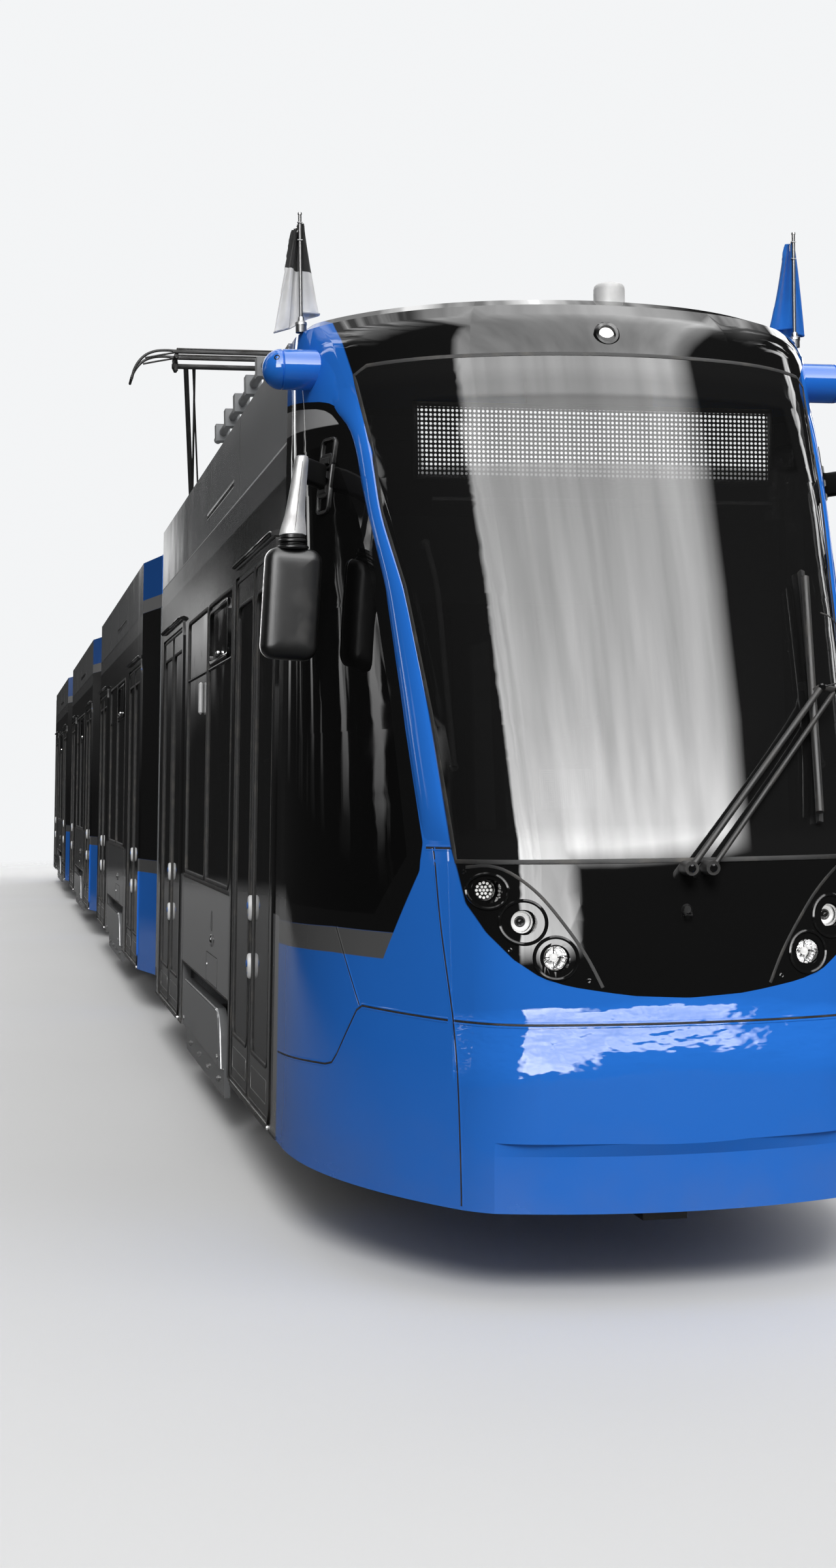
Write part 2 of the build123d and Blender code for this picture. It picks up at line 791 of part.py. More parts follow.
def tow_bore():
    return upright(TOW_R, TOW_LOW - 1, SILL_Z - 5, 0, -TOW_Y)


# Windscreen and side window outlines, seen from the front and from the side
SCREEN_RIGHT = [(725, 1487), (765, 2000), (810, 2460), (858, 2750), (868, 3000), (902, 3310), (860, 3340)]
SCREEN = SCREEN_RIGHT + [(-x, z) for x, z in reversed(SCREEN_RIGHT)]
CAB_WINDOW = [
    (-16640, 1290),
    (-17700, 1290),
    (-17880, 1500),
    (-17720, 2007),
    (-17530, 2464),
    (-17370, 2760),
    (-17130, 3060),
    (-16640, 3060),
]
REAR_SCREEN = [(-700, 1500), (700, 1500), (860, 2900), (-860, 2900)]


def front_cut(points):
    return along_y(points, -18600, -16900)


def nose_pieces(screen_points, lamp_table):
    outer, shell = nose_shell()
    shell -= tow_bore()
    for pocket in lamp_pockets(lamp_table):
        shell -= pocket
    thin = outer - nose_solid(14, CAB_BACK - 100)
    screen = front_cut(screen_points)
    window = along_x(CAB_WINDOW, 700, 1300)
    windows = window + mirror(window, about=Plane.YZ)
    bumper_cut = block(-760, 760, -18600, -17600, SILL_Z - 1, 945)
    bumper = (shell & bumper_cut) - bumper_scoop()
    shell = shell - screen - windows - bumper_cut
    pane = thin & screen
    side_panes = thin & (windows - screen)
    return outer, shell, bumper, pane, side_panes


# Shallow scoop across the foot of the bumper. Its edge is sharp above and fades out at both ends.
SCOOP_HALF = 640
SCOOP_ROWS = [(SILL_Z - 5, 12), (500, 18), (546, -3)]


def scoop_outline(z, depth):
    row = max(z, SILL_Z)
    edge = nose_y(SCOOP_HALF, row) - 3
    front = -HALF_LENGTH - 200
    edges = [
        ThreePointArc((-SCOOP_HALF, edge), (0, nose_y(0, row) + depth), (SCOOP_HALF, edge)),
        Line((SCOOP_HALF, edge), (SCOOP_HALF, front)),
        Line((SCOOP_HALF, front), (-SCOOP_HALF, front)),
        Line((-SCOOP_HALF, front), (-SCOOP_HALF, edge)),
    ]
    return Plane.XY.offset(z) * make_face(edges)


def bumper_scoop():
    return loft([scoop_outline(z, depth) for z, depth in SCOOP_ROWS], ruled=True)


# Lamps: x, z, radius of the round lamps on the nose
LAMPS = [(540, 1287, 42), (441, 1168, 45), (642, 1390, 40)]


def nose_row(z):
    low = [row for row in NOSE if row[0] <= z][-1]
    high = [row for row in NOSE if row[0] > z][0]
    t = (z - low[0]) / (high[0] - low[0])
    return [a + (b - a) * t for a, b in zip(low, high)]


def nose_y(x, z):
    row = nose_row(z)
    front_r, corner_r, side_r, a, b = nose_arcs(row)
    y = -row[1]
    x1, y1 = front_r * math.sin(a), y + front_r * (1 - math.cos(a))
    if x <= x1:
        return y + front_r - math.sqrt(front_r * front_r - x * x)
    sine = (x - x1) / corner_r + math.sin(a)
    if sine <= math.sin(b):
        return y1 + corner_r * (math.cos(a) - math.sqrt(1 - sine * sine))
    x2 = x1 + corner_r * (math.sin(b) - math.sin(a))
    y2 = y1 + corner_r * (math.cos(a) - math.cos(b))
    sine = (x - x2) / side_r + math.sin(b)
    return y2 + side_r * (math.cos(b) - math.sqrt(1 - sine * sine))


LAMP_DEPTH = 60
BEZEL_W = 7
BEZEL_STEP = 14
DOME = 12


def lamp_places(lamp_table):
    return [
        (side * x, nose_y(x + r, z), z, r) for x, z, r in lamp_table for side in (-1, 1)
    ]


def lamp_pockets(lamp_table):
    return [lengthwise(r, y - 200, y + LAMP_DEPTH, x, z) for x, y, z, r in lamp_places(lamp_table)]


# One lamp: a bezel standing proud, a step down behind it and a domed glass
def lamp(r, proud):
    glass = r - BEZEL_W - 2
    step = BEZEL_STEP - proud
    dome_r = (glass * glass + DOME * DOME) / (2 * DOME)
    slant = math.asin(glass / dome_r) / 2
    middle = (dome_r * math.sin(slant), step - DOME + dome_r * (1 - math.cos(slant)))
    edges = [
        Line((0, LAMP_DEPTH), (r, LAMP_DEPTH)),
        Line((r, LAMP_DEPTH), (r, -proud)),
        Line((r, -proud), (r - BEZEL_W, -proud)),
        Line((r - BEZEL_W, -proud), (glass, step)),
        ThreePointArc((glass, step), middle, (0, step - DOME)),
        Line((0, step - DOME), (0, LAMP_DEPTH)),
    ]
    return revolve(make_face(edges), Axis.Y)


def lamps(lamp_table, proud):
    return Compound(children=[Pos(x, y, z) * lamp(r, proud) for x, y, z, r in lamp_places(lamp_table)])


# Tail lamps: two round lamps each side, below the rear window
TAIL_LAMPS = [(560, 1180, 60), (690, 1180, 45)]


# Mirrors: a moulded head under a ribbed collar, a tapered arm and a bracket on the cab side
MIRROR_X = 1168
MIRROR_Y = -17300
MIRROR_Z = 2430
MIRROR_TILT = 4
HEAD_W = 210
HEAD_H = 415
HEAD_T = 95
HEAD_R = 48
HEAD_LIP = 28
GLASS_RIM = 13
GLASS_DEEP = 8
COLLAR = [(54, 2630, 2646), (45, 2646, 2660), (51, 2660, 2674), (44, 2674, 2690)]

# Arm sections. Columns: x, z, width, depth, corner radius
ARM_ROWS = [(1160, 2690, 100, 62, 16), (1150, 2780, 76, 52, 14), (1122, 2985, 50, 44, 12)]
BRACKET_Z = 2932
PLATE_X = 1004
PLATE_Y = -17092
PLATE_TURN = 19.6

# Camera pod on each shoulder of the cab
POD_R = 79
POD_X = 1139
POD_Y = -16900
POD_Z = 3382


def mirror_head():
    outline = Plane.XZ * RectangleRounded(HEAD_W, HEAD_H, HEAD_R)
    head = extrude(outline, amount=HEAD_T / 2, both=True)
    head = fillet(head.faces().sort_by(Axis.Y)[0].edges(), HEAD_LIP)
    glass = RectangleRounded(HEAD_W - 2 * GLASS_RIM, HEAD_H - 2 * GLASS_RIM, HEAD_R - GLASS_RIM)
    recess = Pos(0, HEAD_T / 2, 0) * extrude(Plane.XZ * glass, amount=GLASS_DEEP, both=True)
    return Pos(-MIRROR_X, MIRROR_Y, MIRROR_Z) * Rot(0, MIRROR_TILT, 0) * (head - recess)


def mirror_arm():
    x0, z0 = ARM_ROWS[0][:2]
    x1, z1 = ARM_ROWS[-1][:2]
    sections = [Pos(-x, MIRROR_Y, z) * RectangleRounded(w, d, r) for x, z, w, d, r in ARM_ROWS]
    arm = loft(sections, ruled=True)
    for radius, low, high in COLLAR:
        arm += upright(radius, low, high, -x0, MIRROR_Y)
    start = Vector(-x1, MIRROR_Y, BRACKET_Z)
    path = Vector(-PLATE_X, PLATE_Y, BRACKET_Z) - start
    plane = Plane(origin=start, x_dir=(0, 0, 1), z_dir=path)
    arm += extrude(plane * RectangleRounded(96, 42, 14), amount=path.length)
    plate = extrude(Plane.YZ * RectangleRounded(130, 290, 22), amount=22, both=True)
    return arm + Pos(-PLATE_X, PLATE_Y, BRACKET_Z) * Rot(0, 0, PLATE_TURN) * plate


def camera_pod():
    return cross_bar(POD_R, -POD_X, -960, POD_Y, POD_Z) + Pos(-POD_X, POD_Y, POD_Z) * Sphere(POD_R)


def mirrors():
    return both_sides(mirror_head() + mirror_arm() + camera_pod())


# Cab fittings: desk, driver's seat on a pedestal, partition, blank display box
STOOL_Y = -16990
STOOL_Z = 800
STOOL_R = 90


def cab_fittings():
    desk = along_x(
        [(-17950, FLOOR_Z), (-17950, 1180), (-17500, 1230), (-17350, 1130), (-17450, FLOOR_Z)], -600, 600
    )
    stool = seat(0, STOOL_Y, STOOL_Z, 1) + upright(STOOL_R, FLOOR_Z, STOOL_Z, 0, STOOL_Y)
    stool += upright(2 * STOOL_R, FLOOR_Z, FLOOR_Z + 30, 0, STOOL_Y)
    display = block(-620, 620, -17380, -17250, 2900, 3170)
    hanger = block(-250, 250, -17290, -17250, 3170, 3540)
    low = side_x(FLOOR_Z) - SHELL
    high = side_x(ROOF_LOW) - SHELL
    wall = along_y(
        [(-low, FLOOR_Z), (low, FLOOR_Z), (high, ROOF_LOW), (-high, ROOF_LOW)], -CAB_BACK - 40, -CAB_BACK
    )
    wall -= block(-850, 250, -CAB_BACK - 50, -CAB_BACK + 10, 1300, 2500)
    return Compound(children=[desk, stool, display + hanger, wall])


# Wiper: two parallel arms and a blade lying on the windscreen
WIPER_HUB = (584, 2075)
PIVOT_Z = 1462


def screen_point(x, z, lift):
    return (x, nose_y(abs(x), z) - lift, z)


def wiper():
    hub = screen_point(*WIPER_HUB, 75)
    parts = rod(screen_point(0, PIVOT_Z, 60), hub, 11)
    parts += rod(screen_point(75, PIVOT_Z, 60), (hub[0] + 60, hub[1] + 20, hub[2] - 10), 9)
    for x in (0, 75):
        parts += lengthwise(24, nose_y(x, PIVOT_Z) - 70, nose_y(x, PIVOT_Z) + 15, x, PIVOT_Z)
    low = screen_point(510, 1640, 45)
    high = screen_point(605, 2480, 60)
    parts += rod(low, high, 14)
    parts += rod(hub, (hub[0] + 60, hub[1] + 20, hub[2] - 10), 12)
    middle = tuple((a + b) / 2 for a, b in zip(low, high))
    parts += rod(middle, hub, 12)
    return parts


# Flags at the two front corners of the roof
FLAG_X = 1040
FLAG_Y = -16750
FLAG_FOOT = 3560
POLE_H = 480
DOME_X = 150
DOME_Y = -17050
CLOTH_T = 46
CLOTH_GAP = 0.3
POLE_R = 7

# Outline of a cloth gathered on its pole. Columns: distance outward from the pole, z
CLOTH_EDGE = [(-13, 4010), (13, 4010), (62, 3800), (108, 3610), (90, 3535), (45, 3618), (-110, 3645), (-52, 3850)]


def roof_poles():
    pole = upright(POLE_R, FLAG_FOOT, FLAG_FOOT + POLE_H, FLAG_X, FLAG_Y)
    foot = upright(22, FLAG_FOOT, FLAG_FOOT + 40, FLAG_X, FLAG_Y)
    dome = upright(75, 3580, 3640, DOME_X, DOME_Y) + Pos(DOME_X, DOME_Y, 3640) * Sphere(60)
    return both_sides(pole + foot) + dome


def flag_cloths():
    y = FLAG_Y + POLE_R + CLOTH_GAP
    return both_sides(along_y([(FLAG_X + out, z) for out, z in CLOTH_EDGE], y, y + CLOTH_T))


# Pantograph
PANTO_Y = -4450
PANTO_Z = 3640
ARM = 1500
RAISE = 46.6
KNEE_R = 20


def pantograph_base():
    beam_low, beam_top = PANTO_Z - 110, PANTO_Z - 60
    stand_top = beam_low - 200
    parts = block(-500, 500, PANTO_Y - 400, PANTO_Y + 800, ROOF_TOP, stand_top)
    for x in (-420, 420):
        for y in (PANTO_Y - 300, PANTO_Y + 700):
            parts += upright(60, stand_top, beam_low, x, y)
        parts += block(x - 35, x + 35, PANTO_Y - 350, PANTO_Y + 750, beam_low, beam_top)
    for y in (PANTO_Y - 60, PANTO_Y + 640):
        parts += block(-420, 420, y, y + 60, beam_low, beam_top)
    ear = block(150, 180, PANTO_Y - 60, PANTO_Y + 60, beam_low, PANTO_Z + 50)
    ear -= cross_bar(30 + RUN, 140, 190, PANTO_Y, PANTO_Z)
    return parts + both_sides(ear)


def knee():
    a = math.radians(RAISE)
    return PANTO_Y + ARM * math.cos(a), PANTO_Z + ARM * math.sin(a)


def lower_arm():
    ky, kz = knee()
    shaft = cross_bar(30, -190, 190, PANTO_Y, PANTO_Z)
    tube = rod((0, PANTO_Y, PANTO_Z), (0, ky, kz), 45)
    barrel = cross_bar(55, -90, 90, ky, kz)
    return shaft + tube + barrel - cross_bar(KNEE_R + RUN, -91, 91, ky, kz)


def upper_arm():
    ky, kz = knee()
    top = PANTO_Z + 2 * ARM * math.sin(math.radians(RAISE))
    arm = cross_bar(KNEE_R, -290, 290, ky, kz)
    arm += cross_bar(25, -535, 535, PANTO_Y, top)
    for side in (-1, 1):
        arm += rod((side * 270, ky, kz), (side * 400, PANTO_Y, top), 24)
    return arm


def panto_head():
    top = PANTO_Z + 2 * ARM * math.sin(math.radians(RAISE))
    parts = Part()
    for y in (PANTO_Y - 150, PANTO_Y + 150):
        parts += block(-540, 540, y - 20, y + 20, top + 95, top + 130)
    for side in (-1, 1):
        x = side * 500
        parts += block(x - 20, x + 20, PANTO_Y - 150, PANTO_Y + 150, top + 60, top + 95)
        hanger = block(x - 20, x + 20, PANTO_Y - 60, PANTO_Y + 60, top - 60, top + 60)
        parts += hanger - cross_bar(25 + RUN, x - 21, x + 21, PANTO_Y, top)
        for y in (PANTO_Y - 150, PANTO_Y + 150):
            parts += rod((side * 530, y, top + 112), (side * 930, y, top - 150), 14)
        parts += rod((side * 930, PANTO_Y - 150, top - 150), (side * 930, PANTO_Y + 150, top - 150), 14)
    return parts


# Build and write every node
def node(name, shape):
    export_step(shape, f"parts/{name}.step")


for name, y0, y1, bogie_y, doors, ends in SECTIONS:
    node(f"underframe_{name}", underframe(y0, y1, bogie_y, ends))
    node(f"side_walls_{name}", side_walls(y0, y1, bogie_y, doors, ends))
    node(f"roof_{name}", roof(y0, y1, ends))
    node(f"glazing_{name}", glazing(y0, y1, bogie_y, doors, ends))
    node(f"door_leaves_{name}", door_leaves(doors))
    node(f"interior_{name}", interior(bogie_y, doors))
    node(f"roof_units_{name}", roof_units(name, bogie_y))
    node(f"bogie_{name}", bogie(bogie_y))
    node(f"wheelset_{name}_front", wheelset(bogie_y - HALF_BASE))
    node(f"wheelset_{name}_rear", wheelset(bogie_y + HALF_BASE))

for name, centre in (("ab", -JOINT_PITCH), ("bc", 0), ("cd", JOINT_PITCH)):
    node(f"bellows_{name}", bellows(centre))

outer, shell, bumper, pane, side_panes = nose_pieces(SCREEN, LAMPS)
node("cab_shell", shell)
node("front_bumper", bumper)
node("windscreen", pane)
node("cab_side_windows", side_panes)
node("headlamps", lamps(LAMPS, 18))
node("mirrors", mirrors() - outer)

_, shell, bumper, pane, side_panes = nose_pieces(REAR_SCREEN, TAIL_LAMPS)
node("tail_shell", mirror(shell + bumper, about=Plane.XZ))
node("tail_windows", mirror(pane + side_panes, about=Plane.XZ))
node("tail_lamps", mirror(lamps(TAIL_LAMPS, 12), about=Plane.XZ))
node("cab_fittings", cab_fittings())
node("wiper", wiper() - outer)
node("roof_poles", roof_poles() - outer)
node("flag_cloths", flag_cloths())

node("pantograph_lower_arm", lower_arm())
node("pantograph_upper_arm", upper_arm())
node("pantograph_head", panto_head())
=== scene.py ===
import math
from collections import namedtuple

import bmesh
import bpy
from mathutils import Matrix, Vector
from mathutils.bvhtree import BVHTree


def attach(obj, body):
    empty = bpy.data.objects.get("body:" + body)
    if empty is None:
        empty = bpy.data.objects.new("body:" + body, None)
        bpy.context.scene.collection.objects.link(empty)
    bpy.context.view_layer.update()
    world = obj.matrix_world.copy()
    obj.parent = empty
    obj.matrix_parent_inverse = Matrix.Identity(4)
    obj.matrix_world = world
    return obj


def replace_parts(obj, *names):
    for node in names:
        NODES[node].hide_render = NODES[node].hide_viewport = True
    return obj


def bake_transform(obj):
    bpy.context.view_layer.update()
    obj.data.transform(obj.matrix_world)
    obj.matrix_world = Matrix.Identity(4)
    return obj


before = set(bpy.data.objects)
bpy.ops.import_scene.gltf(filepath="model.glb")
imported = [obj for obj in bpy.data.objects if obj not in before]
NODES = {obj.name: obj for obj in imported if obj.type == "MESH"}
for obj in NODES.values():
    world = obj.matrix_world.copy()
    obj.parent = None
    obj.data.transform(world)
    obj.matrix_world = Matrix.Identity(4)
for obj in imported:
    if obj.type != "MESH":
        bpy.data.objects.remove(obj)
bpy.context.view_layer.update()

# Ends of each section's walls, its bogie and its doors, all as y; ends are the ones that hinge
Section = namedtuple("Section", "front rear bogie doors ends")
SECTIONS = {
    "a": Section(-16.52, -9.261, -13.329, (-15.52, -10.98), (1,)),
    "b": Section(-8.511, -0.375, -4.443, (-7.04, -1.84), (-1, 1)),
    "c": Section(0.375, 8.511, 4.443, (1.84, 7.04), (-1, 1)),
    "d": Section(9.261, 16.52, 13.329, (10.98, 15.52), (-1,)),
}
UP = Vector((0, 0, 1))
AHEAD = Vector((0, -1, 0))


class Val:
    """A socket or a number in a node graph, with arithmetic."""

    def __init__(self, graph, v):
        self.graph, self.v = graph, v

    def op(self, kind, *others, clamp=False):
        node = self.graph.add("Math")
        node.operation, node.use_clamp = kind, clamp
        for socket, value in zip(node.inputs, (self, *others)):
            self.graph.plug(socket, value)
        return Val(self.graph, node.outputs[0])

    def __add__(self, o):
        return self.op("ADD", o)

    def __sub__(self, o):
        return self.op("SUBTRACT", o)

    def __rsub__(self, o):
        return Val(self.graph, o).op("SUBTRACT", self)

    def __mul__(self, o):
        return self.op("MULTIPLY", o)

    def __truediv__(self, o):
        return self.op("DIVIDE", o)

    def abs(self):
        return self.op("ABSOLUTE")

    def wave(self, scale):
        return (self * scale).op("SINE")

    def above(self, edge, soft=0.002):
        return ((self - edge) / (2 * soft)).op("ADD", 0.5, clamp=True)

    def below(self, edge, soft=0.002):
        return ((self - edge) / (-2 * soft)).op("ADD", 0.5, clamp=True)

    def between(self, low, high, soft=0.002):
        return self.above(low, soft) * self.below(high, soft)

    def either(self, o):
        return self.op("MAXIMUM", o)

    def least(self, o):
        return self.op("MINIMUM", o)

    def flip(self):
        return self * -1 + 1


class Graph:
    """A node tree with a texture coordinate, named by place, and its x, y and z at hand."""

    def __init__(self, tree, place):
        self.tree = tree
        self.place = self.add("TexCoord").outputs[place]
        self.x, self.y, self.z = (Val(self, o) for o in self.add("SeparateXYZ", Vector=self.place).outputs)

    def plug(self, socket, value):
        value = value.v if isinstance(value, Val) else value
        if isinstance(value, bpy.types.NodeSocket):
            self.tree.links.new(value, socket)
        else:
            socket.default_value = value

    def add(self, kind, **inputs):
        node = self.tree.nodes.new("ShaderNode" + kind)
        for name, value in inputs.items():
            self.plug(node.inputs[name], value)
        return node

    def scaled(self, stretch):
        return self.add("Mapping", Vector=self.place, Scale=stretch).outputs[0]

    def noise(self, scale, detail=3, stretch=(1, 1, 1)):
        node = self.add("TexNoise", Vector=self.scaled(stretch), Scale=scale, Detail=detail)
        return Val(self, node.outputs[0])

    def cells(self, scale):
        node = self.add("TexVoronoi", Vector=self.scaled((1, 1, 1)), Scale=scale)
        return Val(self, node.outputs["Distance"])

    def ramp(self, value, low, high, floor=0.0, ceiling=1.0):
        limits = {"From Min": low, "From Max": high, "To Min": floor, "To Max": ceiling}
        return Val(self, self.add("MapRange", Value=value, **limits).outputs[0])

    def curve(self, value, points, low, high):
        """A straight-line curve through (value, result) points; low and high bound the values and the results."""
        node = self.add("FloatCurve")
        (v0, v1), (r0, r1) = low, high
        line = node.mapping.curves[0]
        while len(line.points) < len(points):
            line.points.new(0.5, 0.5)
        for p, (v, r) in zip(line.points, points):
            p.location = ((v - v0) / (v1 - v0), (r - r0) / (r1 - r0))
            p.handle_type = "VECTOR"
        node.mapping.update()
        self.plug(node.inputs["Value"], self.ramp(value, v0, v1))
        return Val(self, node.outputs[0]) * (r1 - r0) + r0

    def mix(self, factor, a, b, kind="MIX"):
        node = self.add("Mix")
        node.data_type, node.blend_type = "RGBA", kind
        for name, value in (("Factor", factor), ("A", a), ("B", b)):
            self.plug(node.inputs[name], value)
        return node.outputs["Result"]


class Shade(Graph):
    """A Principled material in the object's own coordinates."""

    def __init__(self, name, base, rough=0.4, **constants):
        self.mat = bpy.data.materials.new(name)
        self.mat.use_nodes = True
        super().__init__(self.mat.node_tree, "Object")
        self.bsdf = self.tree.nodes["Principled BSDF"]
        self.base = self.rgb(base)
        self.set("Base Color", self.base)
        self.set("Roughness", rough)
        for key, value in constants.items():
            self.set(key.replace("_", " "), value)

    @staticmethod
    def rgb(c):
        return (c, c, c, 1) if isinstance(c, (int, float)) else (*c, 1)[:4]

    def set(self, name, value):
        self.plug(self.bsdf.inputs[name], value)

    def paint(self, mask, colour):
        """Lays a colour over the base colour where the mask is 1."""
        self.base = self.mix(mask, self.base, self.rgb(colour))
        self.set("Base Color", self.base)

    def vary(self, value, low=0.9, high=1.1):
        """Multiplies the base colour by a value remapped from low to high."""
        self.base = self.mix(1, self.base, self.ramp(value, 0.3, 0.7, low, high), "MULTIPLY")
        self.set("Base Color", self.base)

    def bump(self, height, distance=0.001, strength=1.0):
        node = self.add("Bump", Strength=strength, Distance=distance, Height=height)
        self.set("Normal", node.outputs[0])
        return self.mat


def circle(steps, share=1.0):
    """Cosine and sine around a turn, or from 0 through a share of it."""
    turns = [2 * math.pi * share * k / steps for k in range(steps + (share < 1))]
    return [(math.cos(t), math.sin(t)) for t in turns]


def dome(radius, height, stop=90, steps=6, base=0.0):
    """Outline of a dome as (radius, height), from its top down to stop degrees."""
    turns = [math.radians(stop * k / steps) for k in range(steps + 1)]
    return [(radius * math.sin(a), base + height * math.cos(a)) for a in turns]


class Form:
    """One piece under construction: solids gathered in a single mesh, in row-frame metres."""

    def __init__(self, name, look, body, slot):
        self.name, self.look, self.body, self.slot = name, look, body, slot
        self.bm = bmesh.new()

    def box(self, x0, x1, y0, y1, z0, z1, r=0.0, steps=2):
        low, high = zip(*(sorted(pair) for pair in ((x0, x1), (y0, y1), (z0, z1))))
        corners = bmesh.ops.create_cube(self.bm, size=1)["verts"]
        for v in corners:
            v.co = Vector(low[i] + (v.co[i] + 0.5) * (high[i] - low[i]) for i in range(3))
        if r:
            edges = list({e for v in corners for e in v.link_edges})
            bmesh.ops.bevel(self.bm, geom=edges, offset=r, segments=steps, profile=0.5, affect="EDGES")
        return self

    def grid(self, rows, around=False, closed=False):
        """A surface through rows of points; around joins each row's ends, closed the first and the last row."""
        rows = [[self.bm.verts.new(Vector(p)) for p in row] for row in rows]
        count = len(rows[0])
        for one, two in list(zip(rows, rows[1:])) + ([(rows[-1], rows[0])] if closed else []):
            for i in range(count if around else count - 1):
                j = (i + 1) % count
                self.bm.faces.new((one[i], one[j], two[j], two[i]))
        return rows

    def sweep(self, frames, profile, closed=False):
        """Carries the (u, v) profile along frames of (origin, u direction, v direction)."""
        rows = self.grid([[o + a * u + b * v for u, v in profile] for o, a, b in frames], True, closed)
        if not closed:
            self.bm.faces.new(rows[0][::-1])
            self.bm.faces.new(rows[-1])
        return self

    def tube(self, points, radius, sides=10, closed=False):
        points = [Vector(p) for p in points]
        last, side, frames = len(points) - 1, None, []
        for i, p in enumerate(points):
            before = points[i - 1] if i or closed else p
            after = points[(i + 1) % (last + 1)] if i < last or closed else p
            t = (after - before).normalized()
            side = t.orthogonal() if side is None else side
            side = (side - t * side.dot(t)).normalized()
            r = radius if isinstance(radius, (int, float)) else radius[i]
            frames.append((p, side * r, t.cross(side) * r))
        return self.sweep(frames, circle(sides), closed)

    def lathe(self, origin, axis, profile, steps=24):
        """Turns a closed (radius, height) outline about an axis through origin."""
        n = Vector(axis).normalized()
        a = n.orthogonal().normalized()
        b = n.cross(a)
        return self.sweep([(Vector(origin), a * c + b * s, n) for c, s in circle(steps)], profile, True)

    def slab(self, points, push):
        points = [Vector(p) for p in points]
        rows = self.grid([points, [p + Vector(push) for p in points]], True)
        self.bm.faces.new(rows[0][::-1])
        self.bm.faces.new(rows[1])
        return self

    def cap(self, points):
        self.bm.faces.new([self.bm.verts.new(p) for p in points])

    def done(self, sharp=35):
        bmesh.ops.remove_doubles(self.bm, verts=self.bm.verts, dist=2e-6)
        bmesh.ops.dissolve_degenerate(self.bm, edges=self.bm.edges, dist=1e-7)
        bmesh.ops.recalc_face_normals(self.bm, faces=self.bm.faces)
        mesh = bpy.data.meshes.new(self.name)
        self.bm.to_mesh(mesh)
        self.bm.free()
        mesh.materials.append(self.look)
        mesh.shade_smooth()
        mesh.set_sharp_from_angle(angle=math.radians(sharp))
        obj = bpy.data.objects.new(self.name, mesh)
        bpy.context.scene.collection.objects.link(obj)
        if self.body:
            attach(obj, self.body)
        return obj


def forms(body, slot, tag="", **looks):
    """New pieces on one body, given as name=look."""
    return [Form(name + tag, M.get(look, look), body, slot) for name, look in looks.items()]


def close(*pieces):
    return [piece.done() for piece in pieces]


def skin(*names):
    points, faces = [], []
    for name in names:
        mesh = NODES[name].data
        faces += [[len(points) + i for i in p.vertices] for p in mesh.polygons]
        points += [v.co.copy() for v in mesh.vertices]
    return BVHTree.FromPolygons(points, faces)


# The nodes that make up the nose, 1, and the tail, -1
SKIN_NODES = {
    1: ("cab_shell", "windscreen", "front_bumper", "cab_side_windows"),
    -1: ("tail_shell", "tail_windows"),
}
SKINS = {way: skin(*names) for way, names in SKIN_NODES.items()}


def cast(tree, start, heading):
    point, normal, _, _ = tree.ray_cast(Vector(start), Vector(heading))
    if point is None:
        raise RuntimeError(f"nothing is met from {start} along {heading}")
    return point, normal if normal.dot(Vector(heading)) < 0 else -normal


def on_nose(x, z, way=1):
    """The nose's skin at x and z, met from ahead of it; way is -1 at the tail."""
    return cast(SKINS[way], (x, -20 * way, z), (0, way, 0))


def on_flank(side, y, z, way=1):
    return cast(SKINS[way], (side * 3, y * way, z), (-side, 0, 0))


def dense(points, step=0.03, smooth=True):
    """Points along a path, straight or eased through the given ones."""
    points = [Vector((*p, 0)[:3]) for p in points]
    ends = [points[0] * 2 - points[1], *points, points[-1] * 2 - points[-2]]
    out = []
    for p0, p1, p2, p3 in zip(ends, points, points[1:], ends[3:]):
        count = max(1, round((p2 - p1).length / step))
        for t in (k / count for k in range(count)):
            if smooth:
                out.append((p1 * 2 + (p2 - p0) * t + (p0 * 2 - p1 * 5 + p2 * 4 - p3) * t * t
                            + (p1 * 3 - p0 - p2 * 3 + p3) * t * t * t) / 2)
            else:
                out.append(p1.lerp(p2, t))
    return out + [points[-1]]


def straight(points, step=0.03):
    return [(p.x, p.y) for p in dense(points, step, False)]


def rounded(y0, y1, z0, z1, r, steps=5):
    """Corner-rounded rectangle in (y, z)."""
    out = []
    for cy, cz, start in ((y1 - r, z1 - r, 0), (y0 + r, z1 - r, 90), (y0 + r, z0 + r, 180), (y1 - r, z0 + r, 270)):
        for k in range(steps + 1):
            a = math.radians(start + 90 * k / steps)
            out.append((cy + r * math.cos(a), cz + r * math.sin(a)))
    return out


def oblong(half_w, half_h, r, steps=6):
    return rounded(-half_w, half_w, -half_h, half_h, r, steps)


def lay(hits, closed=False):
    """Frames along points on a skin: across the path, and away from the skin."""
    frames, last = [], len(hits) - 1
    for i, (p, n) in enumerate(hits):
        before = hits[i - 1][0] if i or closed else p
        after = hits[(i + 1) % (last + 1)][0] if i < last or closed else p
        along = (after - before).normalized()
        across = along.cross(n).normalized()
        frames.append((p, across, across.cross(along).normalized()))
    return frames


def mirrored(half):
    """A (u, v) outline from its left half; a point on the middle line stays single."""
    return half + [(-u, v) for u, v in reversed(half) if u]


def strip(width, proud, sunk=0.003):
    half = width / 2
    return [(u * half, v) for u, v in (
        (-1, -sunk), (1, -sunk), (1, proud * 0.6), (0.7, proud), (-0.7, proud), (-1, proud * 0.6),
    )]


def softened(points):
    """Points eased towards their neighbours, the first and the last one kept."""
    eased = ((a + b * 2 + c) / 4 for a, b, c in zip(points, points[1:], points[2:]))
    return [points[0], *eased, points[-1]]


SEAM = 0.0035
BEAD = [(SEAM, -0.003), (0.011, -0.003), (0.0105, 0.0002), (0.007, 0.0011), (0.0045, 0.0009), (SEAM, -0.0005)]


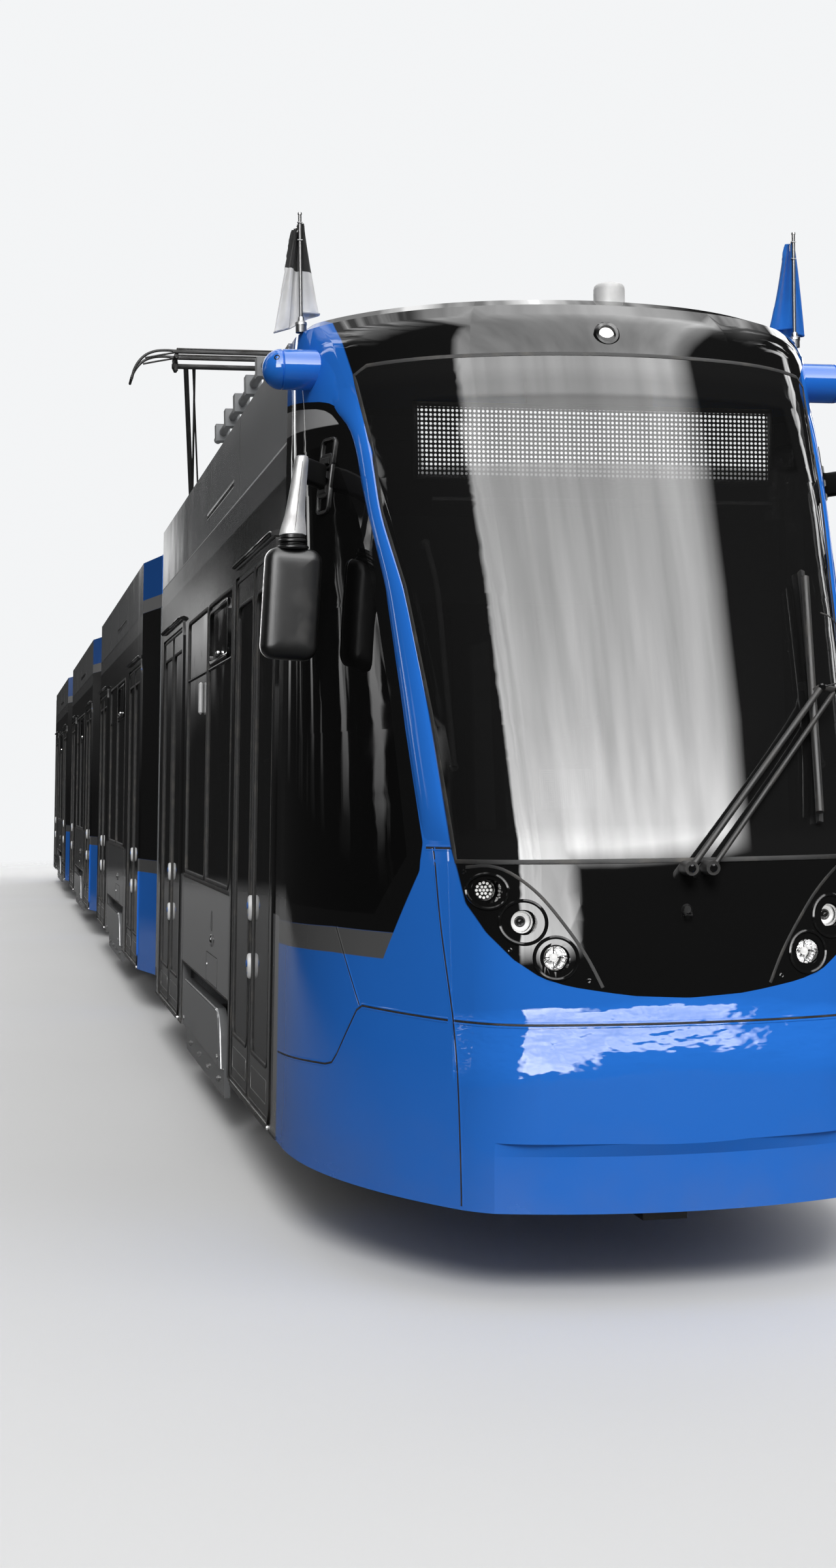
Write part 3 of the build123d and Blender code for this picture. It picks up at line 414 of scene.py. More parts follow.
def seam(gap, edge, hits):
    """A joint between two panels: a dark gap with a rounded panel edge on each side."""
    frames = lay(hits)
    gap.sweep(frames, strip(2 * SEAM, 0.0004))
    for s in (-1, 1):
        edge.sweep(frames, [(s * u, v) for u, v in BEAD])


BLUE = (0.020, 0.160, 0.62)
BLACK = 0.006
STRIP = 0.10
TOP_STRIP = 0.34
SILVER = (0.56, 0.57, 0.58)
DUST = (0.20, 0.18, 0.155)
RUST = (0.12, 0.07, 0.04)
DARK_STEEL = (0.05, 0.05, 0.052)

# Heights of the belt, the strip above the windows, the shroud and the floor; half a doorway; a tapered end's length
BELT, STRIP_Z, SHROUD_Z, FLOOR_Z = 1.222, 3.02, 3.155, 0.3755
DOOR_HALF = 0.75
TAPER = 0.66


def gloss(shade, wave=0.5, shoulder=None, grain=0.05, polish=0.045):
    """Gloss paint: faint orange peel, slow waves in the sheet, and road dust low down."""
    dust = shade.noise(3.2, 5, (1, 0.35, 1)) * shade.z.below(0.62, 0.28)
    dust = shade.ramp(dust, 0.28, 0.72)
    shade.paint(dust * 0.14, DUST)
    shade.vary(shade.noise(0.9, 2), 0.96, 1.04)
    shade.set("Roughness", shade.noise(26, 4) * grain + dust * 0.30 + polish)
    height = shade.noise(1.7, 1) * wave + shade.noise(420, 1) * 0.004
    if shoulder is not None:
        height = height + shoulder * 625
    return shade.bump(height, 0.0016, 0.6)


# Inner edge of the blue pillar as (z, x), and its outer edge as (z, y)
PILLAR_IN = [
    (1.03, 0.0), (1.039, 0.185), (1.057, 0.30), (1.076, 0.41), (1.106, 0.495), (1.164, 0.576),
    (1.251, 0.652), (1.347, 0.704), (1.455, 0.722), (1.523, 0.735), (2.003, 0.771), (2.456, 0.81),
    (2.744, 0.86), (2.994, 0.87), (3.304, 0.904), (3.527, 0.94), (3.62, 0.95),
]
PILLAR_OUT = [
    (1.03, -17.70), (1.134, -17.764), (1.224, -17.816), (1.451, -17.948), (1.548, -17.952), (2.007, -17.78),
    (2.464, -17.596), (2.76, -17.428), (3.005, -17.302), (3.06, -17.268), (3.116, -17.225), (3.16, -17.184),
    (3.197, -17.135), (3.222, -17.08), (3.239, -17.01), (3.262, -16.86), (3.32, -16.40),
]
OUT_LIMITS = (1.0, 3.32), (-18.2, -16.4)


def nose_colours(shade, way):
    """Blue, black and grey fields of the nose; way is -1 at the tail, where the same form is mirrored."""
    wide, along = shade.x.abs(), shade.y * way
    inner = shade.curve(shade.z, PILLAR_IN, (1.0, 3.62), (0, 1))
    outer = shade.curve(shade.z, PILLAR_OUT, *OUT_LIMITS)
    front = wide.below(inner) * along.below(-16.6, 0.01) * shade.z.above(1.03)
    side = along.above(outer) * shade.z.below(3.318)
    low = ((along + 16.45) * -0.027).least(0.0255) + 1.2035
    inset = shade.curve(shade.z + 0.024, PILLAR_OUT, *OUT_LIMITS)
    top = (shade.z - (along + 16.41) * 0.07).above(3.181) * along.above(inset + 0.028)
    shade.paint(front.either(side * shade.z.above(low)), BLACK)
    shade.paint(side * shade.z.between(low - 0.094, low), STRIP)
    shade.paint(top * side, TOP_STRIP)


def nose_paint(name, way):
    shade = Shade(name, BLUE, 0.06, IOR=1.54)
    nose_colours(shade, way)
    # Painted shade: the tow lug below z 0.30 is painted near-black so that it sinks into the shadow under the nose.
    shade.paint(shade.z.below(0.30) * shade.x.abs().below(0.3), 0.012)
    # The panels lean back around the seam: the slope grows from z 0.75 to 0.90 and fades out at the black mask.
    # Its steps in height lie under the upright seams and the windscreen's lower edge.
    level = shade.z + shade.noise(5, 3, (0.8, 1, 2.0)) * 0.05 + shade.x.abs() * 0.07 - 0.045

    def span(start, reach):
        return (level - start).either(0.0).least(reach)

    rise, fall = span(0.75, 0.15), span(0.975, 0.045)
    roll = (rise * rise / 0.30 + span(0.90, 0.075) + fall - fall * fall / 0.09) * -0.75
    panel = shade.x.abs().below(0.744) * (shade.y * way).below(-17.5) * shade.z.below(1.53)
    return gloss(shade, shoulder=roll * panel, grain=0.02, polish=0.015)


def banded(shade, section):
    """The blue, black and grey band on the taper at a section's front end."""
    if -1 in section.ends:
        band = shade.y.below(section.front + TAPER + 0.002)
        shade.paint(band, BLUE)
        shade.paint(band * shade.z.between(1.19, 3.16), BLACK)
        shade.paint(band * shade.z.between(1.09, 1.19), STRIP)
        shade.paint(band * shade.z.between(3.16, 3.262), TOP_STRIP)


def side_paint(key):
    """Dark window band and doorways, grey panels below the belt, and the banded front taper."""
    section = SECTIONS[key]
    shade = Shade(f"side_paint_{key}", (0.19, 0.191, 0.194), 0.12, IOR=1.32)
    shade.paint(shade.z.between(1.221, STRIP_Z), BLACK)
    shade.paint(shade.z.between(STRIP_Z, SHROUD_Z), (0.17, 0.172, 0.175))
    for centre in section.doors:
        near = (shade.y - centre).abs().below(DOOR_HALF + 0.064)
        shade.paint(near * shade.x.below(0, 0.01) * shade.z.below(2.845), 0.012)
    banded(shade, section)
    return gloss(shade)


def roof_paint(key):
    """Silver shroud outside, grey between its walls."""
    shade = Shade(f"roof_paint_{key}", SILVER, 0.08, Metallic=0.35)
    shade.paint(shade.x.abs().below(1.035, 0.006) * shade.z.below(3.555), (0.24, 0.25, 0.25))
    banded(shade, SECTIONS[key])
    return gloss(shade, wave=1.1, grain=0.03, polish=0.03)


def gloss_paint(name, colour, rough=0.08, grain=0.05, polish=0.045, **constants):
    return gloss(Shade(name, colour, rough, **constants), grain=grain, polish=polish)


def glass(name, alpha, tint=0.012, ior=1.5):
    shade = Shade(name, tint, 0.02, Alpha=alpha, IOR=ior)
    shade.set("Roughness", shade.ramp(shade.noise(5, 4), 0.5, 0.95) * 0.10 + 0.015)
    return shade.bump(shade.noise(1.1, 1), 0.004, 0.35)


def screen_glass():
    """Tinted windscreen: clear in front of the display, closer to black along its edges."""
    shade = Shade("windscreen_glass", 0.010, 0.02, IOR=1.85)
    sign = shade.z.between(2.90, 3.175, 0.01) * shade.x.abs().below(0.72, 0.01)
    rim = shade.z.above(3.26, 0.03).either(shade.z.below(1.58, 0.03))
    shade.set("Alpha", sign * -0.32 + rim * 0.22 + 0.72)
    shade.set("Roughness", shade.ramp(shade.noise(5, 4), 0.5, 0.95) * 0.06 + 0.012)
    return shade.bump(shade.noise(0.8, 1), 0.003, 0.3)


def metal(name, base, rough, dirt, metallic=1.0, grain=(1, 1, 1), dirt_colour=(0.06, 0.05, 0.04)):
    shade = Shade(name, base, rough, Metallic=metallic)
    grime = shade.ramp(shade.noise(9, 6, grain), 0.45, 0.75)
    shade.paint(grime * dirt, dirt_colour)
    shade.set("Roughness", grime * 0.3 + rough)
    return shade.bump(shade.noise(140, 3, grain), 0.0006, 0.5)


def plastic(name, base, rough=0.45, grain=900, dirt=0.12):
    shade = Shade(name, base, rough)
    shade.vary(shade.noise(14, 4), 0.88, 1.12)
    worn = shade.ramp(shade.noise(6, 5), 0.55, 0.8)
    shade.paint(worn * dirt, DUST)
    shade.set("Roughness", worn * 0.2 + rough)
    return shade.bump(shade.cells(grain) * 0.5 + shade.noise(60, 2) * 0.3, 0.0004, 0.6)


def bogie_finish():
    """Dark dusty steel inside, silver gloss on the covers outside."""
    shade = Shade("bogie_steel", DARK_STEEL, 0.55, Metallic=0.2)
    shade.paint(shade.ramp(shade.noise(5, 7), 0.42, 0.7) * 0.5, (0.115, 0.062, 0.033))
    cover = shade.x.abs().above(1.108, 0.001)
    shade.paint(cover, (0.26, 0.265, 0.27))
    grime = shade.ramp(shade.noise(3, 6, (1, 0.4, 1)), 0.4, 0.75) * shade.z.below(0.5, 0.2)
    shade.paint(grime * (cover * -0.42 + 0.5), DUST)
    shade.set("Roughness", cover * -0.47 + grime * 0.12 + 0.55)
    shade.set("Metallic", cover * 0.25 + 0.2)
    return shade.bump(shade.noise(70, 6) * (cover * -0.985 + 1), 0.0012, 0.8)


def wheel_finish():
    shade = Shade("wheel_steel", DARK_STEEL, 0.55, Metallic=0.5)
    shade.paint(shade.ramp(shade.noise(8, 6), 0.45, 0.75) * 0.6, RUST)
    return shade.bump(shade.noise(90, 4), 0.0008, 0.6)


def rubber():
    shade = Shade("seal_rubber", 0.012, 0.62)
    shade.paint(shade.ramp(shade.noise(11, 5), 0.5, 0.8) * 0.25, DUST)
    return shade.bump(shade.noise(300, 2) * 0.3, 0.0006, 0.7)


def seat_fabric():
    shade = Shade("seat_moquette", (0.018, 0.055, 0.20), 0.9, Sheen_Weight=0.3)
    shade.paint(shade.cells(46).below(0.16, 0.03) * 0.8, (0.16, 0.30, 0.55))
    shade.vary(shade.noise(300, 2), 0.75, 1.25)
    return shade.bump(shade.noise(700, 2), 0.0008, 0.8)


def bellows_fabric():
    shade = Shade("bellows_fabric", (0.022, 0.022, 0.024), 0.72)
    shade.vary(shade.noise(4, 4), 0.8, 1.3)
    return shade.bump(shade.noise(500, 2) + shade.noise(30, 3) * 0.5, 0.0006, 0.8)


def flag_fabric(name, colour, second=None, split=0.0):
    """Fine weave; a second colour lies above a slanting line that starts at height split."""
    shade = Shade(name, colour, 0.85, Sheen_Weight=0.2)
    if second is not None:
        shade.paint((shade.z + shade.x * 0.28).above(split, 0.0008), second)
    shade.vary(shade.noise(9, 3), 0.88, 1.08)
    return shade.bump(shade.x.wave(4200) * shade.z.wave(4200), 0.00025, 0.8)


def floor_covering():
    """Speckled grey vinyl inside, dark sprayed steel below."""
    shade = Shade("underframe_finish", (0.045, 0.045, 0.047), 0.7)
    below = shade.z.below(0.37)
    shade.paint(below.flip() * 0.9, (0.16, 0.165, 0.17))
    shade.vary(shade.noise(260, 2), 0.7, 1.3)
    shade.paint(shade.ramp(shade.noise(4, 6), 0.5, 0.75) * below * 0.5, DUST)
    return shade.bump(shade.noise(80, 4), 0.0008, 0.6)


def pole_finish():
    """Dark steel staffs; the round aerial between them is pale plastic."""
    shade = Shade("pole_finish", 0.16, 0.3, Metallic=0.8)
    aerial = shade.x.abs().below(0.4, 0.01)
    shade.paint(aerial, (0.50, 0.505, 0.50))
    shade.set("Metallic", aerial * -0.8 + 0.8)
    shade.set("Roughness", shade.noise(40, 3) * 0.2 + 0.25)
    return shade.bump(shade.noise(200, 2), 0.0004, 0.5)


def dot_display(name, colour, pitch, lit):
    """Blank matrix of fine pale dots on a dark ground; the dots give off a painted glow, though the display shows
    nothing.
    """
    shade = Shade(name, 0.02, 0.3)
    dots = (shade.x.wave(2 * math.pi / pitch).abs() * shade.z.wave(2 * math.pi / pitch).abs()).above(0.60, 0.12)
    shade.paint(dots, colour)
    # Painted glow: the blank display's dots emit light, lit times their mask.
    shade.set("Emission Color", shade.rgb(colour))
    shade.set("Emission Strength", dots * lit)
    return shade.bump(dots, 0.0004, 0.6)


def tail_lens():
    """Red and amber lenses of the tail lamps inside bright bezels."""
    shade = Shade("tail_lamp_finish", 0.55, 0.14, Coat_Weight=0.4, Coat_Roughness=0.03)
    rise = (shade.z - 1.18).op("POWER", 2)
    glassy = Val(shade, 0.0)
    for x, r, colour in ((0.56, 0.051, (0.42, 0.008, 0.006)), (0.69, 0.036, (0.62, 0.20, 0.01))):
        far = ((shade.x.abs() - x).op("POWER", 2) + rise).op("SQRT")
        inside = far.below(r, 0.0006)
        shade.paint(inside, colour)
        glassy = glassy.either(inside)
    shade.set("Metallic", glassy.flip())
    ribs = shade.x.wave(900) * shade.z.wave(900)
    shade.vary(ribs * 0.2 + 0.5, 0.75, 1.25)
    return shade.bump(ribs * glassy, 0.0006, 0.6)


def lamp_glow():
    shade = Shade("lamp_glow", 0.8, 0.2, Emission_Color=(1, 0.99, 0.97, 1), Emission_Strength=0.7)
    return shade.bump(shade.noise(160, 2), 0.001, 0.5)


def button_cap():
    shade = Shade("button_cap", (0.02, 0.12, 0.42), 0.3)
    return shade.bump(shade.noise(300, 2), 0.0003, 0.5)


M = {
    "black": rubber(),
    "fabric": bellows_fabric(),
    "seat": seat_fabric(),
    "blue": gloss_paint("blue_paint", BLUE, 0.06, 0.02, 0.015, IOR=1.6),
    "black_gloss": gloss_paint("black_gloss_plastic", BLACK),
    "chrome": metal("chrome", 0.75, 0.12, 0.12),
    "steel": metal("brushed_steel", 0.45, 0.32, 0.25, grain=(1, 1, 12)),
    "aluminium": metal("dull_aluminium", 0.42, 0.42, 0.3),
    "dark_metal": metal("black_painted_steel", 0.02, 0.38, 0.25, 0.0, dirt_colour=(0.1, 0.09, 0.08)),
    "arm_black": metal("arm_paint", 0.014, 0.55, 0.15, 0.0, dirt_colour=(0.05, 0.045, 0.04)),
    "unit_steel": metal("unit_steel", 0.05, 0.5, 0.35, 0.2),
    "carbon": metal("carbon_strip", 0.03, 0.5, 0.3, 0.3),
    "rail_brake": metal("track_brake", DARK_STEEL, 0.5, 0.6, 0.4, dirt_colour=RUST),
    "black_plastic": plastic("black_plastic", 0.009, 0.30, dirt=0.05),
    "grey_plastic": plastic("grey_plastic", 0.17, 0.5),
    "pale_plastic": plastic("pale_plastic", 0.62, 0.35, dirt=0.2),
    "roof_box": plastic("roof_box_paint", (0.17, 0.175, 0.18), 0.5, 300, 0.35),
    "insulator": plastic("insulator_brown", (0.13, 0.045, 0.03), 0.3, 200, 0.3),
    "underframe": floor_covering(),
    "bogie": bogie_finish(),
    "wheel": wheel_finish(),
    "side_glass": glass("tinted_side_glass", 0.86, ior=1.25),
    "screen_glass": screen_glass(),
    "cab_glass": glass("cab_side_glass", 0.92, 0.004, 1.4),
    "lens": glass("clear_lens", 0.14, 0.05),
    "lit": lamp_glow(),
    "button": button_cap(),
    "nose": nose_paint("nose_paint", 1),
}


def finish(node, look):
    for slot in NODES[node].material_slots:
        slot.material = M.get(look, look)


for key in SECTIONS:
    for node, look in {
        "side_walls": side_paint(key), "roof": roof_paint(key), "glazing": "side_glass", "underframe": "underframe",
        "interior": "seat", "roof_units": "roof_box", "bogie": "bogie", "door_leaves": "black_gloss",
    }.items():
        finish(f"{node}_{key}", look)
    for end in ("front", "rear"):
        finish(f"wheelset_{key}_{end}", "wheel")
for node, look in {
    "bellows_ab": "black", "bellows_bc": "black", "bellows_cd": "black",
    "cab_shell": "nose", "front_bumper": "nose", "tail_shell": nose_paint("tail_paint", -1),
    "windscreen": "screen_glass", "cab_side_windows": "cab_glass", "tail_windows": "cab_glass",
    "headlamps": "chrome", "tail_lamps": tail_lens(), "mirrors": "black_plastic", "wiper": "dark_metal",
    "cab_fittings": "grey_plastic", "roof_poles": pole_finish(), "flag_cloths": "pale_plastic",
    "pantograph_lower_arm": "arm_black", "pantograph_upper_arm": "arm_black", "pantograph_head": "arm_black",
}.items():
    finish(node, look)


# Smooth shading over the nose: the slope of each skin point is eased between the loft's bands
ROWS = (0.305, 0.48, 0.945, 1.487, 1.95, 2.417, 2.88, 3.348, 3.47, 3.56, 3.606)
MIDDLES = [(a + b) / 2 for a, b in zip(ROWS, ROWS[1:])]


def eased_normal(tree, point, normal):
    level = Vector((normal.x, normal.y, 0))
    crease = point.z < 0.549 and abs(point.x) < 0.66 and point.y < 0
    outside = not MIDDLES[0] < point.z < MIDDLES[-2]
    if level.length < 0.35 or abs(point.z - ROWS[-1]) < 0.002 or crease or outside:
        return normal
    level.normalize()
    band = max(i for i, m in enumerate(MIDDLES) if m <= point.z)
    low, high = MIDDLES[band], MIDDLES[band + 1]
    found = []
    for z in (low, high):
        start = Vector((point.x, point.y, z)) + level * 1.5
        hit, n, _, _ = tree.ray_cast(start, -level)
        if hit is None or (hit - start).length > 1.9:
            return normal
        found.append(n if n.dot(level) > 0 else -n)
    eased = found[0].lerp(found[1], (point.z - low) / (high - low))
    mixed = level * Vector((eased.x, eased.y, 0)).length
    mixed.z = eased.z
    return mixed.normalized() if mixed.normalized().dot(normal) > 0.9 else normal


def smooth_skin(node, tree):
    mesh = NODES[node].data
    mesh.shade_smooth()
    kept = [Vector(c.vector) for c in mesh.corner_normals]
    known, normals = {}, []
    for polygon in mesh.polygons:
        for i in polygon.loop_indices:
            co, n = mesh.vertices[mesh.loops[i].vertex_index].co, kept[i]
            key = (mesh.loops[i].vertex_index, round(n.x, 2), round(n.y, 2), round(n.z, 2))
            if key not in known:
                start = co + Vector((n.x, n.y, 0)) * 1.2
                reach = (co - start).length
                hit = tree.ray_cast(start, co - start)[3] if reach > 0.4 else None
                seen = hit is not None and abs(hit - reach) < 0.003
                known[key] = eased_normal(tree, co, n) if seen else n
            normals.append(known[key])
    mesh.normals_split_custom_set(normals)


# Outline of the windscreen and of the tail's window, the +X half as (x, z)
SCREENS = {
    1: [(0.725, 1.487), (0.765, 2.0), (0.81, 2.46), (0.858, 2.75), (0.868, 3.0), (0.902, 3.31), (0.86, 3.34)],
    -1: [(0.70, 1.50), (0.86, 2.90)],
}


def middle_of(table, value):
    for (a, b), (c, d) in zip(table, table[1:]):
        if a <= value <= c:
            return b + (d - b) * (value - a) / (c - a)
    return table[-1][1]


def pillar_rib(form, side, way):
    """The blue pillar stands a little proud between the windscreen and the side glass."""
    rows = []
    for z in (1.545 + k * 0.035 for k in range(51)):
        a = on_nose(side * middle_of(PILLAR_IN, z), z, way)[0]
        b = on_flank(side, middle_of(PILLAR_OUT, z), z, way)[0]
        fade = min(1, (z - 1.545) / 0.12, (3.295 - z) / 0.2)
        proud = 0.016 * max(0.0, fade) ** 0.5
        row = []
        for s in (k / 10 for k in range(11)):
            chord = a.lerp(b, s)
            out = Vector((side * (0.35 + 0.65 * s), -way * (1 - 0.65 * s), 0)).normalized()
            hit = SKINS[way].ray_cast(chord + out * 0.3, -out)[0] or chord
            row.append(hit + out * (proud * math.sin(math.pi * s) ** 0.6 - 0.0015))
        rows.append(row)
    for _ in range(6):
        rows = list(zip(*(softened(column) for column in zip(*rows))))
    form.grid(rows)


def ridge(x, z, way):
    """A point on a rounded edge, with the slopes above and below it averaged."""
    point = on_nose(x, z, way)[0]
    normal = (on_nose(x, z - 0.012, way)[1] + on_nose(x, z + 0.012, way)[1]).normalized()
    return point + normal * 0.0006, normal


CORNER_SEAM = [(0.781, 1.531), (0.769, 1.267), (0.744, 0.947), (0.732, 0.719), (0.724, 0.352), (0.724, 0.318)]
FLANK_SEAM = [(-16.535, 0.669), (-17.34, 0.716), (-17.40, 0.728), (-17.445, 0.765), (-17.60, 0.94)]


def dress_nose(way):
    """Seams, raised pillars and the windscreen's gasket, at both ends of the vehicle."""
    tag, body, shell = ("_front", "section_a", "cab_shell") if way == 1 else ("_rear", "section_d", "tail_shell")
    look = NODES[shell].material_slots[0].material
    gap, gasket = forms(body, "black_plastic", tag, panel_gaps="black", screen_gasket="black")
    edge, rib = forms(body, "nose_paint", tag, panel_edges=look, pillars="blue")
    for side in (-1, 1):
        seam(gap, edge, [on_nose(side * x, z, way) for x, z, _ in dense(CORNER_SEAM)])
        panel = straight(FLANK_SEAM) + straight([(-17.64, 0.958), (-18.105, 0.947)])
        for path in (panel, straight([(-17.424, 1.228), (-17.62, 0.955)])):
            seam(gap, edge, [on_flank(side, y, z, way) for y, z in path])
        seam(gap, edge, [on_nose(side * x, 1.531, way) for x in (0.737, 0.75, 0.765, 0.781, 0.80)])
        pillar_rib(rib, side, way)
    seam(gap, edge, [ridge(k * 0.0212, 0.9475, way) for k in range(-35, 36)])
    right = SCREENS[way]
    outline = straight(right + [(-x, z) for x, z in reversed(right)] + [right[0]], 0.04)[:-1]
    gasket.sweep(lay([on_nose(x, z, way) for x, z in outline], True), strip(0.016, 0.0022), True)
    close(gap, edge, rib, gasket)


def led_lamp(rim, glow, centre, inner):
    """A dark disc with one light in the middle and two rings of them."""
    rim.lathe(centre - AHEAD * 0.016, AHEAD, [(0, -0.003), (inner - 0.001, -0.003), (inner - 0.001, 0), (0, 0)], 36)
    for far, count in ((0, 1), (0.0125, 6), (0.0255, 12)):
        for c, s in circle(count):
            spot = centre + Vector((far * c, 0.010, far * s))
            glow.lathe(spot, AHEAD, dome(0.005, 0.005, 90, 3) + [(0, 0)], 10)


def ball_lamp(rim, glow, centre, inner):
    """A glossy ball inside a glowing ring; the ring's glow is a painted highlight that stands for bright reflections
    in the chrome bowl.
    """
    back = centre - AHEAD * 0.030
    rim.lathe(back, AHEAD, dome(0.018, 0.018, 96, 8, -0.004) + [(0, -0.018)], 32)
    # Painted highlight: this ring glows in place of the bright reflections in the bowl around the ball.
    glow.lathe(back, AHEAD, [(0.026 + 0.007 * c, 0.004 * s) for c, s in circle(12)], 32)


def bulb_lamp(rim, glow, centre, inner):
    """A bulb between four struts."""
    glow.lathe(centre - AHEAD * 0.022, AHEAD, dome(0.013, 0.012) + [(0, 0)], 28)
    for c, s in circle(4):
        strut = [centre + Vector((c * far, back, s * far)) for far, back in ((0.012, 0.024), (inner, 0.020))]
        rim.tube(strut, 0.0018, 6)


# Round lamps of the two front clusters: x, z, radius of the pocket, radius of the rim around it, inside
LAMPS = [
    (0.642, 1.390, 0.040, 0.058, led_lamp),
    (0.540, 1.287, 0.042, 0.072, ball_lamp),
    (0.441, 1.168, 0.045, 0.070, bulb_lamp),
]
LAMP_RING = [(-0.007, -0.003), (0.007, -0.003), (0.005, 0.004), (0.0, 0.0075), (-0.005, 0.004)]
CLUSTER = [
    (0.700, 1.468), (0.640, 1.474), (0.575, 1.450), (0.488, 1.377), (0.405, 1.270), (0.342, 1.172), (0.292, 1.070),
]
RIVET = [(0, -0.002), (0.009, -0.002), (0.009, 0.001), (0.006, 0.0025), (0.0035, 0.001), (0, 0.001)]
LUG_HOOP = [(-0.012, -0.008, -0.004), (-0.010, -0.024, -0.018), (0.010, -0.024, -0.018), (0.012, -0.008, -0.004)]


def headlights():
    rim, bowl, lens, glow = forms(
        "section_a", "lamp_glass",
        lamp_rims="black_gloss", lamp_bowls="chrome", lamp_lenses="lens", lamp_light_sources="lit",
    )
    edge, lug = forms("section_a", "black_plastic", cluster_edges="black", front_lug="black_plastic")
    for side in (-1, 1):
        edge.sweep(lay([on_nose(side * x, z) for x, z, _ in dense(CLUSTER, 0.02)]), strip(0.011, 0.0016))
        for x, z, r, around, light in LAMPS:
            ring = [on_nose(side * (x + around * c), z + around * s) for c, s in circle(48)]
            rim.sweep(lay(ring, True), LAMP_RING, True)
            centre = Vector((side * x, on_nose(side * (x + r + 0.006), z)[0].y, z))
            pocket = [(-0.001, -0.055), (-0.001, 0.006), (0.007, 0.006), (0.007, -0.004), (0, -0.006), (0, -0.055)]
            rim.lathe(centre, AHEAD, [(r + out, h) for out, h in pocket], 40)
            inner = r - 0.003
            curve = dome(inner, -0.044, 90, 5, -0.004)
            inside = [(max(0, p - 0.002), h + 0.0015) for p, h in reversed(curve[:-1])]
            bowl.lathe(centre, AHEAD, curve + [(inner - 0.001, 0.0)] + inside, 22)
            lens.lathe(centre, AHEAD, dome(inner, 0.010, base=0.004) + [(inner, 0.001), (0, 0.001)], 36)
            light(rim, glow, centre, inner)
        for x, z in ((0.705, 1.452), (0.585, 1.195), (0.336, 1.092)):
            rim.lathe(*on_nose(side * x, z), RIVET, 16)
    rim.done()
    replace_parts(bowl.done(4), "headlamps")
    close(lens, glow, edge)

    p, n = on_nose(0, 3.424)
    n = (n + AHEAD * 0.6).normalized()
    ring, eye, source = forms(
        "section_a", "lamp_glass", top_lamp_ring="black_gloss", top_lamp_lens="lens", top_lamp_source="lit",
    )
    ring.lathe(p, n, [(0.030, -0.012), (0.046, -0.012), (0.050, 0.003), (0.044, 0.010), (0.034, 0.008)], 36)
    eye.lathe(p, n, dome(0.034, 0.012, base=0.002) + [(0.034, -0.006), (0, -0.006)], 32)
    source.lathe(p, n, [(0, -0.005), (0.031, -0.005), (0.028, 0.0), (0.015, 0.003), (0, 0.004)], 24)
    p, n = on_nose(0, 1.322)
    lug.lathe(p, n, [(0, -0.002), (0.020, -0.002), (0.018, 0.006), (0.012, 0.012), (0, 0.012)], 20)
    lug.tube([p + Vector(step) for step in LUG_HOOP], 0.004, 8)
    close(ring, eye, source, lug)


MIRROR = Vector((1.168, -17.30, 2.43))
MIRROR_TILT = math.radians(4)
POD = Vector((1.139, -16.90, 3.382))
POD_R = 0.079

# Mirror head from its front to the edge of the glass. Columns: inset from the outline, y
HEAD_RINGS = [
    (0.078, -0.0475), (0.060, -0.0472), (0.044, -0.0462), (0.031, -0.0440), (0.020, -0.0400), (0.011, -0.0340),
    (0.0045, -0.0260), (0.001, -0.0160), (0.0, -0.006), (0.0, 0.036), (0.0015, 0.0435), (0.005, 0.0472),
    (0.010, 0.0475), (0.0125, 0.0455), (0.0132, 0.0385),
]
# Ribs of the collar under the arm. Columns: radius, lower and upper z
COLLAR = ((0.060, 2.634, 2.646), (0.050, 2.648, 2.656), (0.055, 2.658, 2.670), (0.047, 2.672, 2.690))
# The arm from its foot to its top. Columns: z, x, half width, half depth
ARM_RINGS = (
    (2.686, 1.160, 0.050, 0.031), (2.715, 1.157, 0.046, 0.030), (2.76, 1.151, 0.037, 0.027),
    (2.82, 1.144, 0.0315, 0.025), (2.90, 1.132, 0.028, 0.023), (2.965, 1.124, 0.0255, 0.022),
    (2.980, 1.122, 0.022, 0.019), (2.985, 1.1215, 0.012, 0.010),
)
ARM_OUTLINE = (
    (-1, 0.25), (-0.55, 0.95), (0.45, 1.0), (1, 0.5), (1, -0.5), (0.35, -1.0), (-0.15, -1.04), (-0.6, -0.9),
    (-1, -0.35),
)
# Hinge plates on the pillar. Columns: y and z of two corners, width of the band
PLATES = (
    (-17.165, -17.075, 2.795, 2.895, 0.014), (-17.165, -17.075, 2.965, 3.075, 0.014),
    (-17.16, -17.08, 2.86, 3.01, 0.020),
)
# The pod's outline up to its dome: step from its radius, height
POD_SIDE = [(0, -0.20), (0, -0.003), (-0.002, -0.001), (-0.004, 0.0015), (-0.002, 0.004)]
POD_EYE = [(0, -0.004), (0.0105, -0.004), (0.0115, 0.001), (0.0095, 0.002), (0.006, -0.001), (0, -0.001)]


